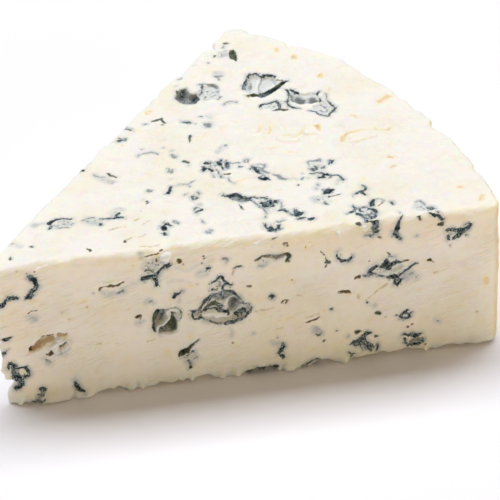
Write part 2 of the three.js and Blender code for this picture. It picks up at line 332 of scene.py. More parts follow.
# What shows on the front cut: places are along the cut and up it.
FRONT_MARKS = [
    # The bend near the tip, and the vein that leaves the tip below it.
    *veins(Tint.DARK, ".8: 9.2,28.9,1.1 9.7,28,.9 10.1,27.2,.7 10.1,26.3 9.5,25.6 8.7,25 8,24.3,.5; .6: 9.2,24.9"
           " 8.8,24.4; .8: 2.8,23.2 3.6,23.5,.7 3.9,24.3,.6 4.7,24.8,.9 5.6,24.8 6.6,24.7,.4"),
    *veins(Tint.BROWN, ".3: 8.6,29.9; .25: 10,30.2; .25: 7.9,20.7 8.7,21.3 9.7,21.4"),
    *veins(Tint.YELLOW, ".35: 8.8,23.7 9.8,23.2; .5: 3.1,19.7; .2: 17.5,21.7 19.5,22.2"),
    *veins(Tint.BLOOM, "1.6: 8.3,19.6 9.3,19.4; .5: 14.4,19.7"),
    *veins(Tint.TAN, ".4: 15.7,18.4 16.4,18.2; .35: 19.3,20.6; .5: 6.7,31"),
    # The broken tip.
    *veins(Tint.OLIVE, ".6: 2.8,15.4 3.4,15.5,.9 4,15.9 4.5,16.1,.3; .5: 2.2,12.2 2.9,12.1"),
    *veins(Tint.DARK, ".5: 3.2,15.2 3.7,15.4; 1: 3.4,9.5,.5 4,9.6,.6 4.4,9,.5 4.2,8,.4 4.4,7,.7 4.3,6.4 5,6,1.2"
           " 5.7,5.4,1.1 5.7,4.6 5.1,3.6,1.2 4.2,3.8; .6: 4.2,5.6 4.9,5.2; .7: 4.8,8.2,.35 5.7,8.3,.45 6.7,8,.5"
           " 7.2,7.1,.6 7,6.2 6.2,5.7,.6 5.4,5.9; .35: 3.2,9 3.3,8.3; .5: 9.1,2.4 9.7,2.8 9.9,2.2; .3: 8.4,1.1 9.2,1.3"
           " 9.8,1; .4: 7.4,-.1 8.5,-.4 9.3,-.6 9.9,-.3; .9: 16.1,3.3,.5 16.3,2.4 16.4,1.6 17,.9,.8 17.6,.4,.5"),
    Patch(Tint.GREY, 0.3, "2,11.6 2.6,11.5 3,12.2 3.8,12.9 3,12.7 2.2,12.5"),
    *veins(Tint.GREY, "1.2: 4.2,8.6 4.3,7.4; .9: 4.6,9 4.9,8.2 4.8,7.4; .6: 4.9,4.6 4.7,5.2"),
    Patch(Tint.PASTE, 0.3, "5.6,7.9 6.5,7.6 6.7,6.9 6.1,6.3 5.4,6.6 5.2,7.3"),
    Vein(Tint.PASTE, 1.2, "2.3,8.5 2.8,7.3 2.9,6", -0.4),
    Patch(Tint.BLOOM, 0, "9.2,3 10.3,2.9 10.4,1.2 9.9,-.3 8.2,-.6 7.2,-.2 8.2,.8 8.9,1.8"),
    Patch(Tint.GREY, 0, "9.2,2.4 10,2.2 10,1.1 9.5,.4 8.7,.4 9.1,1.3"),
    Vein(Tint.BLOOM, 0.8, "15.8,4.3 16,3.3"),
    # The bare, tan-floored hollow and the flakes below it.
    Patch(Tint.TAN, 1.5, "7.4,11.9 7.7,12.5 8.7,13.6 10,14.7 11,15 12.4,15.2 12.6,14.4 12.5,13.7 11.7,13.3 11,13"
          " 9.7,12.3 8.3,11.8"),
    # painted shadow: the brown crescent where the hollow's upper inner edge shades it
    Vein(Tint.BROWN, 0.9, "7.6,11.9,.5 7.9,12.4 8.5,13,.8 9.3,13.7,.3", 1.9),
    *veins(Tint.BROWN, ".2: 10,15 11.2,15.2 12.4,15.3; .25: 13.4,15.3 14.3,15.1 15,15.1; .4: 10.9,10.7"),
    Vein(Tint.TAN, 0.8, "13.4,15 14.2,14.8 15,14.8,.5", 1.2),
    Vein(Tint.FOLD, 1.1, "11.6,12.3,.8 12.6,12.9 13.7,13.4 14.9,13.8,.6", -0.9),
    *veins(Tint.FOLD, ".8: 12.9,13.9 13.8,14.2; .7: 13.9,11.4 14.6,11.7 15,12.4", -0.7),
    Vein(Tint.FOLD, 0.9, "12.2,11.7 12.8,12.1", -0.8),
    *veins(Tint.FOLD, ".6: 12.6,10.9 13.2,11.2; .6: 15.2,13.1 15.5,12.3", -0.6),
    Vein(Tint.FOLD, 0.6, "10.3,11.3 11,11.6", -0.5),
    Patch(Tint.BLOOM, 0, "10.6,11 12,10 13.8,9.9 15.4,11.3 15.6,13 14.4,13.2 12.6,12.2 11.2,12"),
    *veins(Tint.GREY, ".4: 13,11.4 13.6,11 14.2,11.2; .35: 14.3,12.9 15,12.6; .4: 10.6,9.6 11,9"),
    Vein(Tint.PASTE, 0.9, "7.1,11.2,.5 8.6,11.4 10.1,12", -0.4),
    Vein(Tint.BROWN, 0.8, "11.6,11.3,.6 11.6,10.8 11.4,10.5,.5", 1.2),
    *veins(Tint.BLOOM, "1.4: 10.2,10 10.9,9 11.3,8.7; .4: 15.2,12.6 15.3,11.7"),
    Vein(Tint.TAN, 0.7, "13.2,11.7 14,12 14.7,12.4,.4"),
    *veins(Tint.OLIVE, ".3: 13.5,12.1 14.5,12.6; .35: 13.6,10.4; .3: 14.4,10"),
    # The crack with a lip, and the smear below it.
    *veins(Tint.BROWN, ".35: 21.8,23.9,.2 22,24.6,.3 22.5,24.9 23.3,24.9 23.9,24.5,.25; .5: 24,24.9,.3 24.7,24.6"
           " 25.6,24.7,.35 26.5,25.4,.12", 0.8),
    Vein(Tint.PASTE, 0.8, "22.3,25.4 24,25.5 25.8,25.6", -0.3),
    *veins(Tint.GREY, ".5: 25.3,22.9 25.9,23.1 26.4,23.4; .3: 20.7,23.7"),
    *veins(Tint.BLOOM, "1.1: 22.3,23.3 24,22.8 26.4,23.2; .35: 26.7,23.9 28.3,24.5 30,24.9"),
    # The branching vein below the upper edge, with a crumb on it.
    *veins(Tint.DARK, ".7: 30.2,25.4 31.3,25.5,.9 32.8,25.4,1 33.3,26.3 33.7,27,.6 34.5,27.6,.5 35.6,28.2,.5; .7:"
           " 32.6,25.2,.9 32.9,24.4 32.9,23.6,.4; .6: 35,27.4 35.5,27.9"),
    *veins(Tint.OLIVE, ".3: 30.6,26.9 31,27.4,.4 31.7,27.2 32.4,26.8; .3: 31,26.4 31.7,26.4 32.5,26.5"),
    Patch(Tint.BLOOM, 0, "30.4,26 31.5,26.2 32.8,26.2 33.2,27 34.2,28 35.7,28.6 35.9,29.6 34.5,30.3 32.4,30 30.6,29.6"
          " 30.2,28"),
    Vein(Tint.FOLD, 2.3, "34.8,29.9", -0.9),
    *veins(Tint.BROWN, ".3: 33.1,29 33,29.4; .25: 31,30.5 31.7,30.7 33.2,30.9; .3: 33.6,31.4 34.1,31.7"),
    Vein(Tint.BLOOM, 1.2, "30,31.3 30.4,30.3"),
    # Small spots between the vein and the large hollows.
    *veins(Tint.BROWN, ".5: 28.4,16.7,.4 28.8,17 29.3,16.8; .3: 29.3,16.3; .5: 42,28.9; .6: 37.3,28.4 37.2,28.9; .4:"
           " 50.4,20.6 51.1,20.6"),
    *veins(Tint.BLOOM, "1.9: 29.3,15.4; 1.2: 30.9,19.9 31.9,19.8; 1: 36.7,19.3; .05: 36.2,27.2 38.6,26 41,27 43.8,27.6;"
           " .05: 34.9,24.2 37.4,24.1 39.4,23.2; 1.6: 41.2,25 42,25"),
    *veins(Tint.GREY, ".4: 31.2,19.8 31.7,20.1; .6: 45.9,27.6 46.5,27.4; .3: 46.3,26.9"),
    *veins(Tint.DARK, ".5: 35.9,20.2 36.2,20.8 36.7,20.8,.3; .25: 36.7,20.9 37.7,21.4; .55: 42.5,26.2 42.9,26.1"),
    *veins(Tint.OLIVE, ".4: 42.3,28.3; .35: 41.6,27.3; .3: 38,27.7; .4: 47.8,25.2,.3 48.4,25.6 49.2,25.4"),
    *veins(Tint.YELLOW, ".9: 37.3,28.6; .35: 38,26.8; .5: 39.2,22.5 39.6,22.4; .3: 48.9,19.7; .45: 28.4,28.7"),
    *veins(Tint.TAN, ".4: 47.8,25 47.4,23.7; .35: 40.5,22.8; .3: 40.6,19.5"),
    # The loop above the largest hollow.
    *veins(Tint.DARK, ".3: 43.5,22.4,.2 44.2,23 45,23.6,.35 45.5,23.4,.4 45.8,22.6 46.3,22,.5 46.9,21.4,.55; .4:"
           " 43.5,20.9 44.4,21,.3; .3: 46,21.9 45.6,21.3 45.4,20.7,.35"),
    Vein(Tint.GREY, 0.3, "44.6,22.6 45.1,22.1 44.9,21.5"),
    Patch(Tint.PALE, 0.3, "44,21.3 43.9,22.3 44.8,23 45.3,22.6 45.6,21.6 45,21.1"),
    # The largest hollow, lined with folds of mould.
    Patch(Tint.PALE, 1.4, "39.4,15.9 40,15.7 40.8,16 41.3,17 41.9,18 42.8,19.1 43.8,19.8 45,20.1 46.6,19.7 47.7,19.1"
          " 48.3,18.2 48.8,17.1 49.4,16.3 50.5,16.2 50.8,15.4 50.3,14.3 49.6,13.7 48.6,13.1 47.3,12.7 46,12.7 44.3,12.8"
          " 43,13.2 41.9,13.9 41.1,14.6 40,14.3 39.5,14.9"),
    *veins(Tint.DARK, ".4: 39.4,16.1,.5 39.6,15.1,.5 40,14.4,.35 41.1,14.5,.25 41.9,13.8,.25 43,13.1,.35 44.3,12.7,.25"
           " 46,12.6,.25 47.3,12.6,.35 48.6,13.1,.45 49.7,13.7,.35 50.5,14.5,.3 50.9,15.5,.3 50.5,16.4,.3 49.5,16.5"
           " 49,17.3,.3 48.5,18.3 47.8,19.2 46.7,19.9,.5 45,20.2 43.7,19.9,.6 42.6,19.2,.6 41.7,18.1,.5 41,17"
           " 40.6,16.2,.3 39.4,16.1; .45: 41.6,16.4,.5 42.2,17.3,.35 42.9,18.3 43.6,19 44.3,19.4,.4; .7: 45.6,19.8,.9"
           " 45.5,18.6 45.6,17.5,.5; .4: 44.4,16 45.1,16,.6 45,15.4; .4: 46.4,19.5 47.1,19 47.7,18.4 48.5,17.7; .35:"
           " 47.6,18.6 47.2,18; .35: 45.6,17.8 44.9,18.4; .5: 46.2,14.8 46.4,14.2; .35: 48.3,15.6 49.1,16.1 50.2,16;"
           " .7: 47.9,13.7 48.5,14; .5: 49,13.9 49.6,14.4"),
    # dark olive strip: the fold's painted shadow over olive mould, in a sunken groove
    Vein(Tint.OLIVE, 0.9, "40.3,15.7,.4 41.3,15.8,.6 42.3,16.3,.7 43.3,16.7,.8 44.3,16.5 44.8,15.8 45.6,16,.4", 2.0),
    # painted shade: a soft dark patch in the middle of the hollow
    Vein(Tint.SHADE, 1.1, "47.3,15.6,.7 47.9,16.7", 0),
    Patch(Tint.GREY, 1.2, "46.6,14.6 46.5,16 46.9,17.2 47.9,17.8 48.7,17 49.3,16.2 48.3,14.8 47.6,14.2"),
    Patch(Tint.GREY, 1.4, "43.4,17.6 44,18.9 45,19.4 46.3,19.2 47.4,18.7 46.9,17.6 45.7,17 44.6,17"),
    *veins(Tint.FOLD, ".8: 39.8,14.8 40.5,14.7; .6: 46,15.3 45.9,14.5; .8: 45.8,16.3 46.3,17.2", -0.6),
    Vein(Tint.FOLD, 1.7, "41.6,15,.8 43,14.6 44.6,14.4 46.2,14.1 47,13.9,.8", -1.1),
    Vein(Tint.FOLD, 0.9, "41.4,16.6 42.3,17.7 43.3,18.7", -0.8),
    Vein(Tint.DARK, 0.3, "41.2,15.3 42.4,15.7 43.6,15.6 44.6,15.1 45.8,14.8 46.6,14.6", 2.0),
    Vein(Tint.DARK, 0.3, "41.9,16.5 42.9,17.4 43.6,18.2 44.3,18.6", 1.9),
    # The second hollow, with an arch and a bridge of paste in it.
    Patch(Tint.GREY, 2.0, "31.5,14.7 31.3,15.3 31.8,16.3 32.1,17.3 32.8,18 33.3,17.7 35,17.6 36.3,17.7 37.3,17 37.4,16"
          " 37,15.3 36.5,14.7 36.3,12.7 35.3,12.3 34,12.2 32.7,11.9 31.9,12.7 31.5,13.7"),
    Patch(Tint.OLIVE, 2.4, "31.6,14.2 31.4,15.2 31.9,16.4 32.2,17.3 32.8,17.9 33.4,17.5 33.4,16.3 32.9,15.2 32.3,14.3"
          " 32.1,13.2"),
    Patch(Tint.OLIVE, 2.4, "35.2,14.9 36.3,14.7 36.4,13.7 36.3,12.7 35.3,12.4 34.3,13 34.6,14"),
    Patch(Tint.DARK, 2.2, "32.3,17.2 33,17.9 33.5,17.4 33.4,16.2 32.9,15.3 32.3,16"),
    *veins(Tint.FOLD, "1.2: 34.9,17,.7 34.9,16,1.1 34.7,15.1 33.9,14.3,1.3 33,13.7,1.3 32.6,12.9,1; 1.2: 35.4,16.8"
           " 36.3,16.7 36.8,16 36.5,15.5", -1.7),
    Vein(Tint.FOLD, 0.9, "32.4,12.8 33.4,12.1 34.8,11.9 36.2,12.1", -0.5),
    Vein(Tint.OLIVE, 0.4, "35.3,17.5 36.3,17.5 37.1,16.9 37.3,16 37,15.2"),
    Vein(Tint.DARK, 0.8, "31.7,14.7,.5 31.8,13.7 32,12.9,.6"),
    # The slot below it.
    Patch(Tint.OLIVE, 2.6, "40.6,9.9 40,9.4 39,8.6 38.3,7.9 37.3,7.7 36.5,7 36.3,6 37.6,5.8 38.3,6.6 38.8,7.6 39.9,8.7"
          " 40.7,9.4"),
    Patch(Tint.PALE, 0.5, "36.3,5.9 36.3,5.1 37.5,4.9 39,5.1 40.2,6 39.7,7.2 38.9,7.3 38.4,6.4 37.5,5.7"),
    *veins(Tint.DARK, ".45: 38.6,6.4 39.2,6.7; .35: 38.1,5.6 38.5,6; .35: 38.2,4.7 38.6,3.9 38.6,3.2,.5"),
    Vein(Tint.GREY, 0.3, "39.4,4.9 39.9,5.4"),
    Vein(Tint.BLOOM, 1.4, "37.8,4.6 38.9,4.2 39.8,5.2"),
    # Specks and scratches on the bare paste.
    *veins(Tint.YELLOW, ".45: 38.7,10.6; .5: 34.2,7.8 34.6,7.6; .2: 51.6,17 53.3,17.3 54.6,17.8; .25: 55.3,11.4 57,11.5"
           " 58.8,11.9; .35: 65.2,12.3; 1.1: 97.3,15.2 97.3,14.3"),
    *veins(Tint.TAN, ".35: 21,11.8 21.5,11.6; .35: 24.3,10.9 25,11.1; .25: 30.5,10.5 31.6,10.8; .3: 50.5,12.5; .22:"
           " 51.6,14.4 53.3,14.7 55.3,15; .25: 55,9.4 56,9.4 57,9.7; .2: 61.3,11.3 62.6,11.7 64.2,11.9; .2: 73.3,13.7"
           " 74.8,14.8 76.4,16 77.7,16.9; .25: 59.8,16.7 60.6,16.7; .5: 95.7,7.5; .3: 87.2,18.2 88,18.3"),
    *veins(Tint.BROWN, ".35: 47,7.6; .3: 61.5,10.2 62.6,10.4,.35 63.6,10.9,.25 64.4,11.2,.1; .4: 77.3,9.2; .35:"
           " 74,22.7"),
    *veins(Tint.BLOOM, ".4: 46.8,11.3 46.8,9.2; .5: 74,12.7; .8: 75.2,12.2; .9: 87.7,6.7 88.2,6.3"),
    *veins(Tint.GREY, ".35: 51,9.2; .55: 66.6,12.4; .3: 87.8,6.5; .35: 83.4,27.1"),
    *veins(Tint.OLIVE, ".5: 73.6,13.1; .6: 75.5,10.4 75.9,10.1"),
    Vein(Tint.DARK, 0.25, "66.6,12.4"),
    # The olive arch and the marks round it.
    Vein(Tint.OLIVE, 0.5, "52.2,26.4 53,27.1 54,27.1,.45", 0.9),
    Vein(Tint.GREY, 0.9, "54.2,26.8,.7 55.5,26.6,1 57.5,26.7", 1.3),
    Vein(Tint.OLIVE, 0.6, "57.4,27,.5 58.3,26.8 58.6,26.1,.8 58.2,25.2,.4", 1.3),
    Vein(Tint.BLOOM, 1.8, "53.2,25.6 53.9,25.5"),
    *veins(Tint.GREY, ".3: 52.6,25.2 53.7,25; .2: 67.7,26 68.2,26.3"),
    *veins(Tint.YELLOW, ".7: 61.8,28.3 61.8,27.9; .5: 62.5,29.3; .7: 58.8,20.7 59.2,20.6; .15: 58,20.1 60.3,20.4; .3:"
           " 70,16 70.4,15.8"),
    *veins(Tint.BROWN, ".3: 61.8,28.1; .2: 57.4,29.3 57.8,28.7 58.3,29 58,29.5 57.4,29.3; .3: 60.2,30; .2:"
           " 64.7,26.8,.15 65.3,25.6 65.7,24.8,.25; .5: 65.5,23; .3: 59,20.6; .35: 56.7,15.8 57.3,16.2 58,16.1,.3"
           " 57.9,15.5,.3 57.2,15.4 56.7,15.8"),
    *veins(Tint.FOLD, ".7: 55.4,29.1; 1: 52.2,30.3", -0.4),
    Vein(Tint.FOLD, 1.1, "68.2,30.1", -0.5),
    *veins(Tint.OLIVE, ".25: 55.4,30.9 56.2,31.4; .6: 65.7,23.9 66.3,23.8; .4: 65.9,24.3; .4: 55,18 54.6,17.4"),
    *veins(Tint.DARK, ".6: 67.9,25.3,.25 68.1,24.5,.4 68.6,23.8,.5 69.2,23.5 70.2,23.6 70.9,24.4,.3; .7: 54.8,17.6"
           " 55.2,17.5"),
    Vein(Tint.BROWN, 0.9, "68,16.4,.5 68.8,16.5 69.7,16.5,.8 70.3,16.1,.4", 1.0),
    *veins(Tint.TAN, ".5: 71.8,14.7 72,14.3; .3: 71.9,15.3 72.2,15.1"),
    # The spread of veins towards the rind.
    *veins(Tint.DARK, ".9: 74.1,20.1 74.6,20.9 75.2,21.4,.6 75.8,21.6,.3; .25: 72.8,19.7 74,19.6,.4 75.2,19.6,.3"
           " 76.5,19.1 77.5,18.6,.35 78.3,18.5,.6; .4: 83,20.9,.5 82.4,20.4,.6 81.8,19.7 81,19.2 80.2,18.8; .4: 80,18"
           " 80.6,17.7 80.3,17 79.9,16.6,.5"),
    *veins(Tint.BROWN, ".5: 71.3,19.2 72,19.6; .25: 80.8,22 81.8,22.1; .3: 83.1,21 83.9,21; .4: 85.7,21.1 86.2,21.4,.5"
           " 86.6,21,.3 87,20.6,.15; .2: 77.7,24.3 78,24"),
    *veins(Tint.DARK, ".7: 76.4,21.2 77,21.6,.9 77.5,22.4 77.9,21.5,1 78.6,21.6,.8 79.4,21.9,.6 80.4,21.9,.3; .9:"
           " 77.3,21 77.9,20.6,.7 78.4,20.9,.5", 0.7),
    Patch(Tint.PALE, 0.4, "78.4,20.6 79.4,21.4 80.6,21.3 81.2,20.6 80.4,20 79,19.6 78.3,20"),
    Vein(Tint.DARK, 0.9, "78.3,18.5 79,18.8 79.6,18.4,.7 79.2,17.6,.5 79.3,16.7,.7 79.8,16.3,.5", 0.8),
    Patch(Tint.GREY, 0.6, "78.9,18.2 79.8,18.6 80.4,17.8 80,17 79.4,17.2"),
    *veins(Tint.BLOOM, "2: 81.3,18 82.5,18.6 83.6,18; 1.2: 75.5,20.3 77,20.2 80,19.4; .6: 78.6,23.7"),
    Vein(Tint.GREY, 0.35, "77.9,23.3 78.4,23.1 79.2,23.1"),
    # Marks below the upper edge towards the rind.
    Vein(Tint.DARK, 0.9, "75.4,32.1 75.5,31.2,1 75.2,30.4,1 75.5,29.7", 0.6),
    *veins(Tint.BLOOM, "1.4: 73.4,29.2 74.5,29.3 75.8,28.9; 1.4: 78.7,29.3 79,28.2; 1.6: 90,26.6 91.5,27 93.2,28.5"),
    *veins(Tint.DARK, ".35: 74.4,28.6 75,28.7; .5: 86.5,32,.4 87.3,31.8 87.9,31.6 88.2,30.8,.4 88.5,30.3; .7:"
           " 89.4,28,.6 90.3,27.7 91.2,27.7,.8 92,27.4,.9 92.8,27.6,1 93.5,27.9 93.8,28.6,.5; .8: 92.7,27.3,1"
           " 92.2,26.8,.9 91.5,26.2 90.8,25.8,.6; .5: 89.6,26.3 89.7,25.7; .35: 93.3,26.3"),
    *veins(Tint.GREY, ".6: 73.4,29.2 74.2,29.1; .4: 92.8,28.6 93.4,28.9"),
    *veins(Tint.OLIVE, ".5: 72,32.2 72.3,31.7; .5: 83.9,31.8 84.2,31,.3; .7: 87.7,29.6,.4 88.4,29.3; .3: 90,24.2"),
    Vein(Tint.FOLD, 1.2, "73.2,30.9", -0.4),
    Vein(Tint.BROWN, 0.4, "76.1,28.1 76.6,27.7,.35"),
    Vein(Tint.DARK, 0.9, "80.2,32.2,.4 79.7,31.3,.4 79.5,30.4,.5 79.3,29.4 79.4,28.5,1.1 79.8,27.8 80.2,27.1,.6", 0.5),
    # The clusters along the foot.
    *veins(Tint.DARK, ".8: 49.8,0,.6 50.8,.3 51.8,.4 53,.4 54.3,.4 55.6,.4,.5; .6: 61.6,.3,.3 62.4,.7 63.2,1"
           " 63.9,.9,.5; .8: 57,5.8,.5 56.7,4.9 56.3,4.1 56,3.7,.6; .6: 56.6,3 56.8,2.5; .4: 70.1,1.2,.5 70.4,.8"
           " 71.2,1.2,.3; .5: 73.2,2.8 73.8,2 74.6,1.5,.4; .45: 75.7,2.6 75.8,1.9 75.6,1.3; .5: 81.7,10.1 81,9.6"
           " 80.3,8.9 80.5,8.4 81.3,8.3 82.3,8.3 82.1,9,.4 81.4,9.5; .35: 82.5,9.4; .6: 81.2,3,.35 81.5,2.2,.5 82,1.6"
           " 83,1.5 84,1.5,.7 84.7,2.1,.7 84.8,2.6,.4; .4: 81,4 81.5,4.2"),
    *veins(Tint.OLIVE, ".4: 60.5,-.1 61.6,.3; .3: 63.4,7.2 63.9,6.7 64.5,6.9; .3: 67.7,7.5; .3: 65.2,5.3; .6: 71.6,6.2"
           " 72.1,6.4; .35: 75.2,4.6 75.8,4.6; .5: 79.5,9.2; .4: 85.2,1"),
    *veins(Tint.BLOOM, "1.3: 54.9,6.3 56,5.8; 1: 57,3.6 57.2,2.4; 1.8: 63.5,8 64.2,7; 1.5: 80.8,3.2 81.2,2.4"),
    *veins(Tint.GREY, ".2: 63.1,8.9 63.6,8.3 63.8,7.6; .2: 63.9,8.4 64.4,7.7; .3: 55.8,7.4; .4: 72.2,2.8 72.8,2.4"
           " 73,1.7; .4: 69.7,5.7"),
    *veins(Tint.YELLOW, ".6: 62.5,3.8 62.7,3.6; .35: 53.5,4.2"),
    *veins(Tint.DARK, ".9: 70.4,3.7,.4 71,4,.8 71.7,4.2 72.4,4.5 72.9,5.2,.8 73.4,5.7 74.4,5.7,.6; 1: 71.3,3.3,.9"
           " 72,3.6 72.7,4.2,1.1 73.2,3.6,.8 73.9,2.8 74.6,2.5,.8 74.9,2.1,.5", 0.8),
    *veins(Tint.PALE, ".7: 71.5,2.3 72.6,2.4 73.2,1.8; .6: 81.2,8.9"),
    *veins(Tint.BROWN, ".45: 81.9,6; .45: 82.8,6.3"),
    Vein(Tint.DARK, 0.9, "82,3.9,.7 82.6,4.1 83.3,3.7,1.1 84.2,4,.5 84.6,4.2,.2", 0.7),
    Patch(Tint.GREY, 0.5, "82,2.3 83,3 84.2,3.2 84.5,2.4 83.8,1.9 82.6,1.8"),
]

